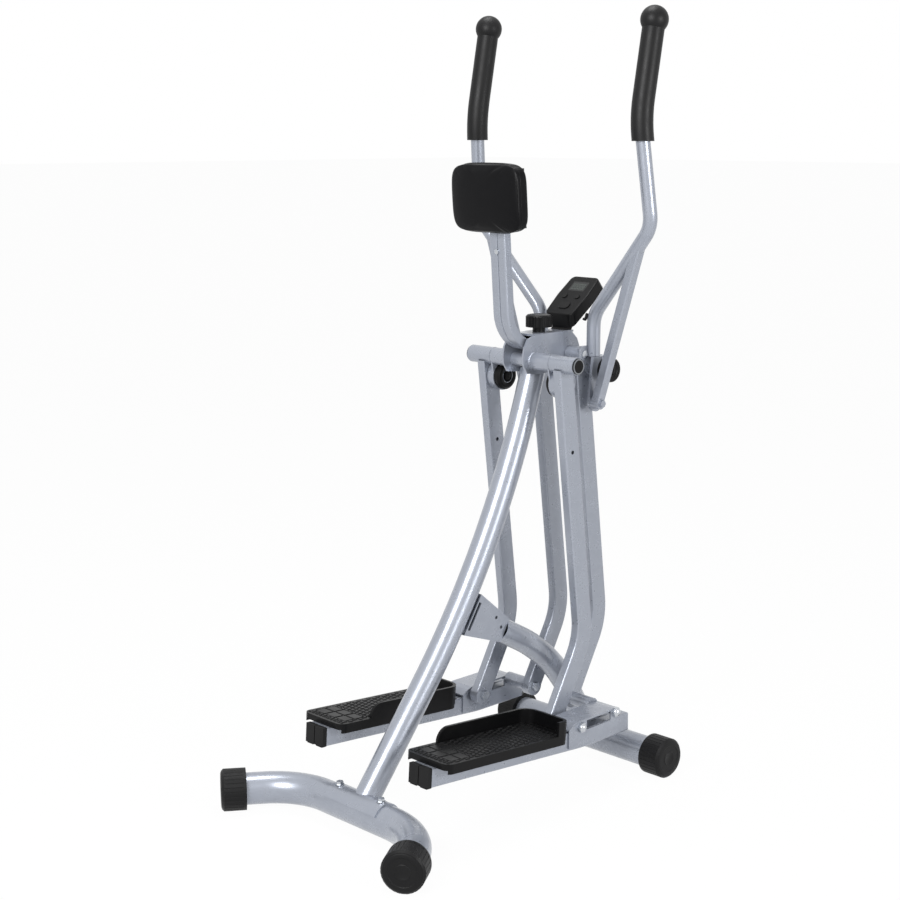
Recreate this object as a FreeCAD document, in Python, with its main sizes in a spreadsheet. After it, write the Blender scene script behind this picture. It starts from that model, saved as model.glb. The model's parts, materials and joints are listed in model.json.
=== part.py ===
import FreeCAD, Part
import math
import os
import Sketcher

# Air walker: an upright glider on two floor tubes. A hub on top of a leaning post carries two
# axles. Each leg is a parallelogram of two hanging links and a foot bar, and the front link
# goes on above its axle as a handle.
# X points the way the user faces, Y to the user's left, Z up. The origin lies on the floor,
# under the middle of the machine. Places given as "y" are distances from the middle plane.

Vector = FreeCAD.Vector
Placement = FreeCAD.Placement
Rotation = FreeCAD.Rotation

SIZES = {
    # Clearances between pieces
    "snug_gap": 0.1,
    "running_gap": 0.05,
    "swing_gap": 0.5,
    "open_pivot_gap": 0.3,
    # Floor tubes and their caps
    "floor_tube": 63,
    "floor_wall": 2,
    "cap_diameter": 83,
    "cap_flat": 0.5,
    "cap_length": 48,
    "cap_end_wall": 6,
    "cap_flutes": 30,
    "cap_flute_diameter": 3,
    "front_tube_x": 376,
    "front_half_width": 231,
    "rear_tube_x": -265,
    "rear_foot_x": -396.6,
    "rear_foot_y": 266,
    "rear_foot_angle": 56,
    "rear_bend": 170,
    # Saddle plates that bolt the uprights to the floor tubes
    "saddle_wall": 3,
    "saddle_length": 150,
    "saddle_half_angle": 62,
    "saddle_bolt_y": 60,
    "saddle_bolt": 8,
    "saddle_bolt_length": 26,
    "washer_diameter": 17,
    "washer_thickness": 1.6,
    # Main post and front support
    "post_tube": 50.8,
    "post_wall": 2,
    "post_corner_x": 90,
    "post_corner_z": 495,
    "post_top_x": 201,
    "post_top_z": 845,
    "post_bend": 1790,
    "support_rear_x": 108,
    "support_rear_z": 325,
    "support_corner_x": 265,
    "support_corner_z": 240,
    "support_foot_x": 382,
    "support_foot_z": 46,
    "support_bend": 420,
    # Bracket between the post and the support
    "bracket_width": 36,
    "bracket_wall": 3,
    "bracket_top_z": 413,
    "bracket_low_z": 338,
    "bracket_window": 7,
    "bracket_window_set_back": 3,
    "bracket_hole": 7,
    # Hub
    "cheek_thickness": 4,
    "rear_axis_x": 175,
    "rear_axis_z": 868,
    "front_axis_dx": 102,
    "front_axis_dz": 8,
    "axle_diameter": 16,
    "axle_tube": 26,
    "top_plate_z": 917,
    "top_plate_thickness": 4,
    "top_plate_rear_x": 171.5,
    "top_plate_front_x": 292,
    "rear_sleeve": 35,
    "rear_sleeve_inner_y": 81,
    "rear_sleeve_outer_y": 145,
    "bush_diameter": 26,
    "bush_length": 20,
    "front_sleeve": 29,
    "front_sleeve_outer_y": 64,
    "bumper_web": 4,
    "bumper_drum": 60,
    "bumper_drum_wall": 3,
    "bumper_drum_end_y": 94,
    "bumper_x": 195,
    "bumper_z": 827,
    "bumper_diameter": 56,
    "bumper_length": 11.5,
    "bumper_hole": 20,
    # Links of a leg
    "link_depth": 40,
    "link_width": 20,
    "link_wall": 2,
    "link_corner": 3,
    "rear_link_y": 105,
    "front_link_y": 54,
    "link_bend_dx": 69,
    "link_bend_dz": -563,
    "foot_pivot_dx": -16,
    "foot_pivot_dz": -718,
    "link_bend": 130,
    "link_top_drop": 8,
    "link_hole": 8,
    "link_hole_drop": 176,
    # Foot bars, channel and pivots
    "bar_height": 38,
    "bar_width": 25,
    "bar_gap": 2,
    "bar_wall": 2,
    "bar_corner": 3,
    "bar_middle_y": 151,
    "bar_rear_x": -243,
    "bar_rear_z": 149,
    "bar_bend_x": 175,
    "bar_bend_z": 122,
    "bar_front_x": 307,
    "bar_front_z": 125,
    "bar_bend": 400,
    "plug_length": 10,
    "plug_foot": 4,
    "channel_wall": 3,
    "channel_rear_x": 125,
    "channel_front_x": 274,
    "channel_height": 15,
    "channel_slot_rear_x": 177,
    "channel_slot_front_x": 249,
    "channel_slot_height": 19,
    "pivot_bolt": 12,
    "bolt_head": 21,
    "bolt_head_length": 7,
    "front_boss": 28,
    # Pedals
    "pedal_length": 328,
    "pedal_width": 116,
    "pedal_thickness": 12,
    "pedal_toe_x": 92,
    "pedal_rim_height": 28,
    "pedal_rim_wall": 6,
    "pedal_rim_start": 79,
    "pedal_skirt": 7,
    "pedal_skirt_wall": 4,
    "pedal_toe_return": 30,
    "pedal_corner": 32,
    # Handles
    "handle_tube": 28,
    "handle_wall": 1.8,
    "handle_y": 72,
    "handle_foot_x": 301,
    "handle_foot_z": 871.5,
    "handle_bend_z": 953,
    "handle_knee_x": 281,
    "handle_knee_y": 233,
    "handle_knee_z": 1136,
    "grip_foot_x": 258,
    "grip_y": 221,
    "grip_foot_z": 1298,
    "grip_corner_z": 1340,
    "grip_top_x": 292,
    "grip_top_z": 1523,
    "handle_bend": 60,
    "grip_bend": 260,
    "grip_diameter": 43,
    "ball_diameter": 54,
    "lever_drum": 56,
    "lever_drum_x": 323,
    "lever_drum_z": 843,
    "lever_drum_length": 22,
    "lever_plate": 6,
    "lever_ear": 44,
    "lever_ear_x": 297,
    "lever_ear_z": 782,
    "lever_disc": 50,
    "lever_disc_length": 18,
    "disc_rounding": 4,
    "brace_tube": 20,
    "brace_wall": 1.5,
    "brace_foot_x": 287,
    "brace_foot_y": 97,
    "brace_foot_z": 779,
    "brace_top_z": 1099,
    "brace_boss": 24,
    # Pad and its twin post
    "pad_post_width": 20,
    "pad_post_depth": 20,
    "pad_post_wall": 1.5,
    "pad_post_gap": 0.5,
    "pad_post_top_z": 1200,
    "pad_post_lean": 4.2,
    "pad_post_low_x": 122,
    "pad_post_leg_z": 896.5,
    "pad_post_foot_x": 262,
    "pad_post_bend": 75,
    "post_liner_rear_x": 202,
    "post_liner_front_x": 250,
    "post_liner_floor": 4,
    "pad_backing_thickness": 5,
    "pad_backing_inset": 10,
    "pad_thickness": 34,
    "pad_width": 184,
    "pad_height": 133,
    "pad_middle_z": 1192,
    "pad_corner": 18,
    "pad_crown": 5,
    "pad_drawn_in": 3,
    "post_screw_z": 1087,
    "post_screw": 10,
    # Knob
    "knob_x": 217,
    "knob_diameter": 53,
    "knob_bottom_z": 931,
    "knob_top_z": 955,
    "knob_stem": 25,
    "knob_thread": 10,
    "knob_thread_low_z": 907,
    "knob_flutes": 26,
    "knob_flute_diameter": 4,
    # Console
    "console_length": 110,
    "console_heel": 13,
    "console_width": 74,
    "console_bow": 4,
    "console_bow_radius": 90,
    "console_thickness": 24,
    "console_x": 314.5,
    "console_z": 988,
    "console_tilt": 39.5,
    "console_corner": 12,
    "console_edge": 3,
    "console_window_length": 26,
    "console_window_width": 42,
    "console_window_depth": 2,
    "console_window_corner": 2,
    "console_window_up": 26,
    "button_depth": 4,
    "button_proud": 1.5,
    "button_gap": 0.4,
    "mode_button_length": 18,
    "mode_button_width": 28,
    "mode_button_corner": 7.5,
    "mode_button_up": -30,
    "small_button": 11,
    "small_button_corner": 4.5,
    "small_button_up": -4,
    "small_button_y": 17,
    "console_foot_width": 40,
    "console_foot_length": 18,
}

doc = FreeCAD.newDocument("air_walker")
sheet = doc.addObject("Spreadsheet::Sheet", "sizes")
for row, (alias, value) in enumerate(SIZES.items(), start=1):
    sheet.set(f"A{row}", alias)
    sheet.set(f"B{row}", str(value))
    sheet.setAlias(f"B{row}", alias)
doc.recompute()

SUBPARTS = []


def size(alias):
    """Return a driving dimension from the sheet."""
    return float(sheet.get(alias))


def keep(sub_part, label):
    """Give a finished sub-part its label and list it for export."""
    sub_part.Label = label
    SUBPARTS.append(sub_part)
    return sub_part


def side_name(side):
    """Name the side of the machine: 1 is the user's left, -1 the right."""
    return "left" if side > 0 else "right"


def pivot(which, end="top"):
    """Return X and Z of a link's pivot: rear or front link, top or foot end."""
    x = size("rear_axis_x")
    z = size("rear_axis_z")
    if which == "front":
        x += size("front_axis_dx")
        z += size("front_axis_dz")
    if end == "foot":
        x += size("foot_pivot_dx")
        z += size("foot_pivot_dz")
    return x, z


def rounded(points, radii):
    """Return the edges of a route: straight runs between points, joined by tangent arcs."""
    points = [Vector(*p) for p in points]
    edges = []
    start = points[0]
    for before, corner, after, radius in zip(points, points[1:], points[2:], radii):
        back = (before - corner).normalize()
        ahead = (after - corner).normalize()
        half_turn = (math.pi - back.getAngle(ahead)) / 2
        room = 0.49 * min((before - corner).Length, (after - corner).Length)
        if corner is points[1]:
            room = min(0.95 * (before - corner).Length, 0.49 * (after - corner).Length)
        if after is points[-1]:
            room = min(room if len(points) > 3 else 0.95 * (before - corner).Length,
                       0.95 * (after - corner).Length)
        reach = min(radius * math.tan(half_turn), room)
        bend = reach / math.tan(half_turn)
        inward = (back + ahead).normalize()
        middle = corner + inward * (bend / math.cos(half_turn) - bend)
        edges.append(Part.LineSegment(start, corner + back * reach))
        edges.append(Part.Arc(corner + back * reach, middle, corner + ahead * reach))
        start = corner + ahead * reach
    edges.append(Part.LineSegment(start, points[-1]))
    return edges


def new_body(name):
    """Start a body."""
    return doc.addObject("PartDesign::Body", name)


def new_sketch(body, name, role="XZ_Plane", offset=None):
    """Add a sketch on one of the body's own origin planes."""
    sketch = body.newObject("Sketcher::SketchObject", name)
    plane = next(f for f in body.Origin.OriginFeatures if f.Role == role)
    sketch.AttachmentSupport = (plane, "")
    sketch.MapMode = "FlatFace"
    if offset is not None:
        sketch.AttachmentOffset = offset
    return sketch


def add_outline(sketch, points):
    """Draw a closed outline of straight lines."""
    corners = [Vector(*p, 0) for p in points]
    for start, end in zip(corners, corners[1:] + corners[:1]):
        sketch.addGeometry(Part.LineSegment(start, end), False)


def add_circle(sketch, centre, expression):
    """Draw a circle whose diameter follows an expression of the sheet."""
    circle = sketch.addGeometry(Part.Circle(Vector(*centre, 0), Vector(0, 0, 1), 5), False)
    for kind, value in (("DistanceX", centre[0]), ("DistanceY", centre[1])):
        sketch.addConstraint(Sketcher.Constraint(kind, -1, 1, circle, 3, value))
    number = sketch.addConstraint(Sketcher.Constraint("Diameter", circle, 10))
    sketch.setExpression(f"Constraints[{number}]", expression)
    return circle


def add_rounded_box(sketch, width, depth, corner, offset=None, outwards=-1):
    """Draw a rounded rectangle about the origin from named sizes, or one offset from it.

    The offset is a named size too: it lies inside the first rectangle, or outside it.
    """
    shift = outwards * size(offset) if offset else 0.0
    text = f" + {2 * outwards} * sizes.{offset}" if offset else ""
    corner_text = f" + {0.5 * outwards} * sizes.{offset}" if offset else ""
    half_w, half_d = size(width) / 2 + shift, size(depth) / 2 + shift
    radius = size(corner) + shift / 2
    w, d = half_w - radius, half_d - radius
    lines = []
    for start, end in (((-w, -half_d), (w, -half_d)), ((half_w, -d), (half_w, d)),
                       ((w, half_d), (-w, half_d)), ((-half_w, d), (-half_w, -d))):
        lines.append(sketch.addGeometry(Part.LineSegment(Vector(*start, 0), Vector(*end, 0)), False))
    arcs = []
    for x, y, turn in ((w, -d, 270), (w, d, 0), (-w, d, 90), (-w, -d, 180)):
        circle = Part.Circle(Vector(x, y, 0), Vector(0, 0, 1), radius)
        arc = Part.ArcOfCircle(circle, math.radians(turn), math.radians(turn + 90))
        arcs.append(sketch.addGeometry(arc, False))
    for index in range(4):
        sketch.addConstraint(Sketcher.Constraint("Tangent", lines[index], 2, arcs[index], 1))
        sketch.addConstraint(Sketcher.Constraint("Tangent", arcs[index], 2, lines[(index + 1) % 4], 1))
    for index in range(3):
        sketch.addConstraint(Sketcher.Constraint("Equal", arcs[0], arcs[index + 1]))
    sketch.addConstraint(Sketcher.Constraint("Horizontal", lines[0]))
    sketch.addConstraint(Sketcher.Constraint("Vertical", lines[1]))
    sketch.addConstraint(Sketcher.Constraint("Symmetric", arcs[0], 3, arcs[2], 3, -1, 1))
    measures = (("Radius", (arcs[0], radius), f"sizes.{corner}{corner_text}"),
                ("DistanceX", (lines[3], 1, lines[1], 1, 2 * half_w), f"sizes.{width}{text}"),
                ("DistanceY", (lines[0], 1, lines[2], 1, 2 * half_d), f"sizes.{depth}{text}"))
    for kind, terms, expression in measures:
        number = sketch.addConstraint(Sketcher.Constraint(kind, *terms))
        sketch.setExpression(f"Constraints[{number}]", expression)


def pad(body, sketch, inward, outward=None, side=1):
    """Pad a sketch: evenly about its plane, or unevenly towards and away from the middle plane."""
    feature = body.newObject("PartDesign::Pad", sketch.Name + "_pad")
    feature.Profile = sketch
    if outward is None:
        feature.SideType = "Symmetric"
        feature.setExpression("Length", inward)
    else:
        feature.SideType = "Two sides"
        feature.setExpression("Length", inward if side > 0 else outward)
        feature.setExpression("Length2", outward if side > 0 else inward)
    return feature


def pocket(body, sketch, length):
    """Cut a sketch through the body, evenly about its plane."""
    feature = body.newObject("PartDesign::Pocket", sketch.Name + "_cut")
    feature.Profile = sketch
    feature.SideType = "Symmetric"
    feature.Type = "Length"
    feature.setExpression("Length", length)
    return feature


def bore(body, name, centre, diameter, length):
    """Cut a round hole along Y."""
    sketch = new_sketch(body, name)
    add_circle(sketch, centre, diameter)
    return pocket(body, sketch, length)


def sweep_profile(body, path, profile, edge_count):
    """Carry a profile along a path inside a body."""
    pipe = body.newObject("PartDesign::AdditivePipe", profile.Name + "_pipe")
    pipe.Profile = profile
    pipe.Spine = (path, [f"Edge{n + 1}" for n in range(edge_count)])
    return pipe


def along(start, end, across=Vector(0, 1, 0)):
    """Return the placement of a profile at start that looks towards end, its X axis across."""
    start = Vector(*start)
    ahead = (Vector(*end) - start).normalize()
    return Placement(start, Rotation(across, ahead.cross(across), ahead, "ZXY"))


def route_sketch(body, points, radii, role="XZ_Plane"):
    """Draw a rounded route in a plane of the body."""
    path = new_sketch(body, "route", role)
    edges = rounded([(*p, 0) for p in points], radii)
    for edge in edges:
        path.addGeometry(edge, False)
    return path, len(edges)


def round_tube(name, points, radii, diameter, wall, role="XZ_Plane"):
    """Build a bent round tube along a route in a plane."""
    body = new_body(name)
    path, count = route_sketch(body, points, radii, role)
    flat = (lambda p: (p[0], 0, p[1])) if role == "XZ_Plane" else (lambda p: (p[0], p[1], 0))
    across = Vector(0, 1, 0) if role == "XZ_Plane" else Vector(0, 0, 1)
    place = along(flat(points[0]), flat(points[1]), across)
    profile = new_sketch(body, "section", "XY_Plane", place)
    add_circle(profile, (0, 0), f"sizes.{diameter}")
    add_circle(profile, (0, 0), f"sizes.{diameter} - 2 * sizes.{wall}")
    sweep_profile(body, path, profile, count)
    return body


def box_tube(name, points, radii, width, depth, wall, corner):
    """Build a bent rectangular tube along a route in the XZ plane; width lies across, in Y."""
    body = new_body(name)
    path, count = route_sketch(body, points, radii)
    place = along((points[0][0], 0, points[0][1]), (points[1][0], 0, points[1][1]))
    profile = new_sketch(body, "section", "XY_Plane", place)
    add_rounded_box(profile, width, depth, corner)
    add_rounded_box(profile, width, depth, corner, wall)
    sweep_profile(body, path, profile, count)
    return body


def across_y(x, y, z, side):
    """Return a placement whose Z axis points outwards along Y, on the given side."""
    return Placement(Vector(x, side * y, z), Rotation(Vector(1, 0, 0), -90 * side))


def cylinder(name, diameter, length, place):
    """Make a cylinder whose diameter and length follow expressions of the sheet."""
    part = doc.addObject("Part::Cylinder", name)
    part.setExpression("Radius", f"({diameter}) / 2")
    part.setExpression("Height", length)
    part.Placement = place
    return part


def hexagon(name, across_corners, length, place):
    """Make a hexagonal prism whose sizes follow expressions of the sheet."""
    part = doc.addObject("Part::Prism", name)
    part.Polygon = 6
    part.setExpression("Circumradius", f"({across_corners}) / 2")
    part.setExpression("Height", length)
    part.Placement = place
    return part


def fuse(name, *parts):
    """Join parts."""
    joined = doc.addObject("Part::MultiFuse", name)
    joined.Shapes = list(parts)
    return joined


def cut(name, base, tool):
    """Cut one part with another."""
    result = doc.addObject("Part::Cut", name)
    result.Base = base
    result.Tool = tool
    return result


def group(name, parts):
    """Hold separate solids as one sub-part."""
    compound = doc.addObject("Part::Compound", name)
    compound.Links = list(parts)
    return compound


def turned(name, outline, place):
    """Revolve an outline of radius and height about the Z axis."""
    body = new_body(name)
    sketch = new_sketch(body, "outline")
    add_outline(sketch, outline)
    spin = body.newObject("PartDesign::Revolution", "spin")
    spin.Profile = sketch
    axis = next(f for f in body.Origin.OriginFeatures if f.Role == "Z_Axis")
    spin.ReferenceAxis = (axis, [""])
    spin.Angle = 360
    body.Placement = place
    return body


def floor_z():
    """Return the height of the floor tubes' axes: the caps stand on the floor."""
    return size("cap_diameter") / 2 - size("cap_flat")


def rear_tube_route():
    """Return the corners of the rear floor tube, from the right end to the left, in XY."""
    angle = math.radians(size("rear_foot_angle"))
    inset = size("cap_end_wall")
    end_x = size("rear_foot_x") + inset * math.sin(angle)
    end_y = size("rear_foot_y") - inset * math.cos(angle)
    run = (size("rear_tube_x") - end_x) / math.sin(angle)
    corner_y = end_y - run * math.cos(angle)
    x = size("rear_tube_x")
    return [(end_x, -end_y), (x, -corner_y), (x, corner_y), (end_x, end_y)]


def bolt_holes(body):
    """Drill the saddle bolts' holes through the top wall of a floor tube or saddle."""
    sketch = new_sketch(body, "bolt_holes", "XY_Plane", Placement(Vector(0, 0, 0), Rotation()))
    for sign in (-1, 1):
        add_circle(sketch, (0, sign * size("saddle_bolt_y")), "sizes.saddle_bolt + 2 * sizes.snug_gap")
    feature = body.newObject("PartDesign::Pocket", "bolt_holes_cut")
    feature.Profile = sketch
    feature.Reversed = True
    feature.Type = "Length"
    feature.setExpression("Length", "sizes.floor_tube")
    return feature


def floor_tubes():
    """Build the two floor tubes, each in a frame of its own at the tube's axis."""
    rear = round_tube("rear_stabiliser", [(x - size("rear_tube_x"), y) for x, y in rear_tube_route()],
                      [size("rear_bend")] * 2, "floor_tube", "floor_wall", "XY_Plane")
    bolt_holes(rear)
    rear.Placement.Base = Vector(size("rear_tube_x"), 0, floor_z())
    keep(rear, "rear_stabiliser")
    front = new_body("front_stabiliser")
    sketch = new_sketch(front, "section")
    add_circle(sketch, (0, 0), "sizes.floor_tube")
    add_circle(sketch, (0, 0), "sizes.floor_tube - 2 * sizes.floor_wall")
    pad(front, sketch, "2 * (sizes.front_half_width - sizes.cap_end_wall)")
    bolt_holes(front)
    front.Placement.Base = Vector(size("front_tube_x"), 0, floor_z())
    keep(front, "front_stabiliser")


def cap(name, place):
    """Build a fluted cap; its socket opens downwards in its own frame, and z 0 is its face."""
    outer = size("cap_diameter") / 2
    inner = size("floor_tube") / 2 + size("snug_gap")
    edge = 0.05 * size("cap_diameter")
    socket = -size("cap_end_wall") + size("snug_gap")
    low = -size("cap_length")
    body = turned(name, [(0, 0), (outer - edge, 0), (outer, -edge), (outer, low), (inner, low),
                         (inner, socket), (0, socket)], place)
    sketch = new_sketch(body, "flute", "XY_Plane")
    add_circle(sketch, (outer + size("cap_flute_diameter") / 4, 0), "sizes.cap_flute_diameter")
    flute = pocket(body, sketch, "2 * (sizes.cap_length - 2 * sizes.cap_flute_diameter)")
    pattern = body.newObject("PartDesign::PolarPattern", "flutes")
    pattern.Originals = [flute]
    axis = next(f for f in body.Origin.OriginFeatures if f.Role == "Z_Axis")
    pattern.Axis = (axis, [""])
    pattern.Angle = 360
    pattern.setExpression("Occurrences", "sizes.cap_flutes")
    body.Tip = pattern
    return body


def caps():
    """Build the caps on the ends of both floor tubes, each with a flat where it rests on the ground."""
    angle = math.radians(size("rear_foot_angle"))
    rear, front = [], []
    ground = doc.addObject("Part::Box", "ground")
    span = 2 * size("rear_foot_y")
    ground.Length = ground.Width = 2 * span
    ground.Height = size("cap_diameter")
    ground.Placement.Base = Vector(-span, -span, -size("cap_diameter"))
    for side in (1, -1):
        outward = Vector(-math.sin(angle), side * math.cos(angle), 0)
        upright = Rotation(Vector(0, 0, 1).cross(outward), outward.cross(Vector(0, 0, 1).cross(outward)),
                           outward, "ZXY")
        face = Vector(size("rear_foot_x"), side * size("rear_foot_y"), floor_z())
        whole = cap(f"{side_name(side)}_rear_cap", Placement(face, upright))
        rear.append(cut(f"{side_name(side)}_rear_cap_flat", whole, ground))
        place = across_y(size("front_tube_x"), size("front_half_width"), floor_z(), side)
        whole = cap(f"{side_name(side)}_front_cap", place)
        front.append(cut(f"{side_name(side)}_front_cap_flat", whole, ground))
    keep(group("rear_cap_pair", rear), "rear_caps")
    keep(group("front_cap_pair", front), "front_caps")


def saddle(name, x):
    """Build a curved saddle plate that lies on top of a floor tube."""
    body = new_body(name)
    sketch = new_sketch(body, "arc_section")
    inner = size("floor_tube") / 2 + size("snug_gap")
    outer = inner + size("saddle_wall")
    low = math.radians(90 - size("saddle_half_angle"))
    high = math.pi - low
    for radius in (inner, outer):
        circle = Part.Circle(Vector(0, 0, 0), Vector(0, 0, 1), radius)
        sketch.addGeometry(Part.ArcOfCircle(circle, low, high), False)
    for angle in (low, high):
        ends = [Vector(radius * math.cos(angle), radius * math.sin(angle), 0) for radius in (inner, outer)]
        sketch.addGeometry(Part.LineSegment(*ends), False)
    pad(body, sketch, "sizes.saddle_length")
    bolt_holes(body)
    body.Placement.Base = Vector(x, 0, floor_z())
    return keep(body, name)


def saddle_bolts():
    """Build the four bolts and washers that hold the saddles."""
    top = floor_z() + size("floor_tube") / 2 + size("saddle_wall") + 2 * size("snug_gap")
    bolts = []
    for x in (size("rear_tube_x"), size("front_tube_x")):
        for sign in (-1, 1):
            y = sign * size("saddle_bolt_y")
            tag = f"saddle_bolt_{len(bolts)}"
            washer = cylinder(tag + "_washer", "sizes.washer_diameter", "sizes.washer_thickness",
                              Placement(Vector(x, y, top), Rotation()))
            head = hexagon(tag + "_head", "sizes.saddle_bolt * 1.8", "sizes.saddle_bolt * 0.7",
                           Placement(Vector(x, y, top + size("washer_thickness")), Rotation()))
            shank = cylinder(tag + "_shank", "sizes.saddle_bolt",
                             "sizes.saddle_bolt_length + sizes.washer_thickness",
                             Placement(Vector(x, y, top - size("saddle_bolt_length")), Rotation()))
            bolts.append(fuse(tag, washer, head, shank))
    keep(group("saddle_bolt_set", bolts), "saddle_bolts")


def saddle_clearance(body, x):
    """Trim an upright so that it stands on the saddle over the floor tube at x."""
    radius = size("floor_tube") / 2 + size("saddle_wall") + 2 * size("snug_gap")
    z = floor_z()
    below = z - size("floor_tube")
    sketch = new_sketch(body, "saddle_clearance")
    circle = Part.Circle(Vector(x, z, 0), Vector(0, 0, 1), radius)
    sketch.addGeometry(Part.ArcOfCircle(circle, 0, math.pi), False)
    for start, end in (((x - radius, z), (x - radius, below)), ((x - radius, below), (x + radius, below)),
                       ((x + radius, below), (x + radius, z))):
        sketch.addGeometry(Part.LineSegment(Vector(*start, 0), Vector(*end, 0)), False)
    pocket(body, sketch, "2 * sizes.post_tube")


def main_post():
    """Build the leaning post from the rear saddle up to the hub."""
    post = round_tube("main_post", main_post_route(), [size("post_bend")], "post_tube", "post_wall")
    saddle_clearance(post, size("rear_tube_x"))
    keep(post, "main_post")


def support_tube():
    """Build the support from the bracket down to the front saddle."""
    points = [(size("support_rear_x"), size("support_rear_z")),
              (size("support_corner_x"), size("support_corner_z")),
              (size("support_foot_x"), size("support_foot_z"))]
    tube = round_tube("support_tube", points, [size("support_bend")], "post_tube", "post_wall")
    saddle_clearance(tube, size("front_tube_x"))
    keep(tube, "support_tube")


def bracket_frame():
    """Return the support's rear end, its direction and the normal to it, in XZ."""
    start = Vector(size("support_rear_x"), size("support_rear_z"), 0)
    ahead = Vector(size("support_corner_x"), size("support_corner_z"), 0) - start
    ahead.normalize()
    return start, ahead, Vector(-ahead.y, ahead.x, 0)


def main_post_route():
    """Return the corners of the main post's route, in XZ."""
    return [(size("rear_tube_x"), floor_z()), (size("post_corner_x"), size("post_corner_z")),
            (size("post_top_x"), size("post_top_z"))]


def post_skin(z, distance=0.0):
    """Return the point at height z that lies this far in front of the post's skin, in XZ."""
    route = rounded([(*p, 0) for p in main_post_route()], [size("post_bend")])
    arc = route[1].toShape().Curve
    reach = arc.Radius + size("post_tube") / 2 + size("snug_gap") + distance
    return Vector(arc.Center.x + math.sqrt(reach ** 2 - (z - arc.Center.y) ** 2), z, 0)


def post_bracket():
    """Build the folded bracket that joins the support to the post, with its window and holes."""
    start, ahead, up = bracket_frame()
    half = size("post_tube") / 2
    wall = size("bracket_wall")
    butt = start - ahead * size("snug_gap")
    front_top, front_low = butt + up * half, butt - up * half
    top_z, low_z = size("bracket_top_z"), size("bracket_low_z")
    rear = [post_skin(low_z + share * (top_z - low_z)) for share in (0, 0.5, 1)]
    body = new_body("post_bracket")
    outline = new_sketch(body, "outline")
    add_outline(outline, [tuple(p)[:2] for p in (rear[0], front_low, front_top, rear[2], rear[1])])
    pad(body, outline, "sizes.bracket_width")
    hollow = new_sketch(body, "hollow")
    edge = (front_top - rear[2]).normalize()
    inward = Vector(edge.y, -edge.x, 0) * wall
    reach = edge * size("post_tube")
    add_outline(hollow, [tuple(p)[:2] for p in (rear[2] + inward - reach, rear[0] - reach - inward,
                                                 front_low + reach - up * half, front_top + inward + reach)])
    pocket(body, hollow, "sizes.bracket_width - 2 * sizes.bracket_wall")
    window = new_sketch(body, "window")
    near, far = size("bracket_window_set_back"), size("bracket_window_set_back") + size("bracket_window")
    low, high = low_z + 0.12 * (top_z - low_z), top_z - 0.2 * (top_z - low_z)
    add_outline(window, [tuple(p)[:2] for p in (post_skin(low, near), post_skin(low - wall, far),
                                                 post_skin(high - wall, far), post_skin(high, near))])
    pocket(body, window, "2 * sizes.bracket_width")
    holes = new_sketch(body, "holes")
    middle = (front_top + front_low) * 0.5
    back = (rear[2] + rear[0]) * 0.5 - middle
    for share_back, share_up in ((0.36, 0.62), (0.14, 0.1)):
        spot = middle + back * share_back + up * (share_up * half)
        add_circle(holes, (spot.x, spot.y), "sizes.bracket_hole")
    pocket(body, holes, "2 * sizes.bracket_width")
    keep(body, "post_bracket")


def cheek_outline():
    """Return the corners of a hub cheek plate, in XZ."""
    rear_x, rear_z = pivot("rear")
    front_x, front_z = pivot("front")
    top = size("top_plate_z") + size("top_plate_thickness")
    return [(rear_x - 20, rear_z - 24), (rear_x - 31, rear_z - 8), (rear_x - 33, rear_z + 8),
            (rear_x - 30, rear_z + 26), (rear_x - 20, rear_z + 44), (rear_x, top - 2),
            (rear_x + 40, top), (front_x - 14, top), (front_x + 8, top - 4), (front_x + 22, front_z + 28),
            (front_x + 29, front_z + 12), (front_x + 27, front_z - 12), (front_x + 14, front_z - 24),
            (front_x - 20, front_z - 27), (rear_x + 20, rear_z - 28)]


def hub():
    """Build the hub: two cheek plates, one with a welded tube, the top plate and both axles."""
    x, z = pivot("rear")
    start = -size("post_tube") / 2
    tube = cylinder("axle_tube", "sizes.axle_tube", "sizes.post_tube + 2 * sizes.snug_gap",
                    across_y(x, start, z, 1))
    hole = cylinder("axle_tube_hole", "sizes.axle_diameter + 2 * sizes.snug_gap", "2 * sizes.post_tube",
                    across_y(x, start, z, 1))
    for side in (1, -1):
        name = f"{side_name(side)}_cheek"
        body = new_body(name + "_plate")
        outline = new_sketch(body, "outline")
        add_outline(outline, cheek_outline())
        for which in ("rear", "front"):
            add_circle(outline, pivot(which), "sizes.axle_diameter + 2 * sizes.snug_gap")
        pad(body, outline, "sizes.cheek_thickness")
        middle = size("post_tube") / 2 + size("snug_gap") + size("cheek_thickness") / 2
        body.Placement.Base = Vector(0, side * middle, 0)
        cheek = cut(name + "_bored", fuse(name + "_weld", body, tube), hole) if side > 0 else body
        keep(cheek, name)
    plate = new_body("top_plate")
    sketch = new_sketch(plate, "outline", "XY_Plane",
                        Placement(Vector(0, 0, size("top_plate_z") + size("top_plate_thickness") / 2),
                                  Rotation()))
    half = size("post_tube") / 2
    rear, front = size("top_plate_rear_x"), size("top_plate_front_x")
    add_outline(sketch, [(rear, -half), (front, -half), (front, half), (rear, half)])
    add_circle(sketch, (size("knob_x"), 0), "sizes.knob_thread + 2 * sizes.running_gap")
    pad(plate, sketch, "sizes.top_plate_thickness")
    keep(plate, "top_plate")
    reach = {"rear": "sizes.rear_sleeve_outer_y - sizes.plug_length",
             "front": "sizes.front_sleeve_outer_y + sizes.lever_plate + 2"}
    for which, half_length in reach.items():
        x, z = pivot(which)
        axle = cylinder(f"{which}_axle", "sizes.axle_diameter", f"2 * ({half_length})",
                        Placement(Vector(x, 0, z), Rotation(Vector(1, 0, 0), -90)))
        axle.setExpression("Placement.Base.y", f"-({half_length})")
        keep(axle, f"{which}_axle")


def cheek_face():
    """Return the distance of a cheek's outer face from the middle plane."""
    return size("post_tube") / 2 + size("snug_gap") + size("cheek_thickness")


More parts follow.
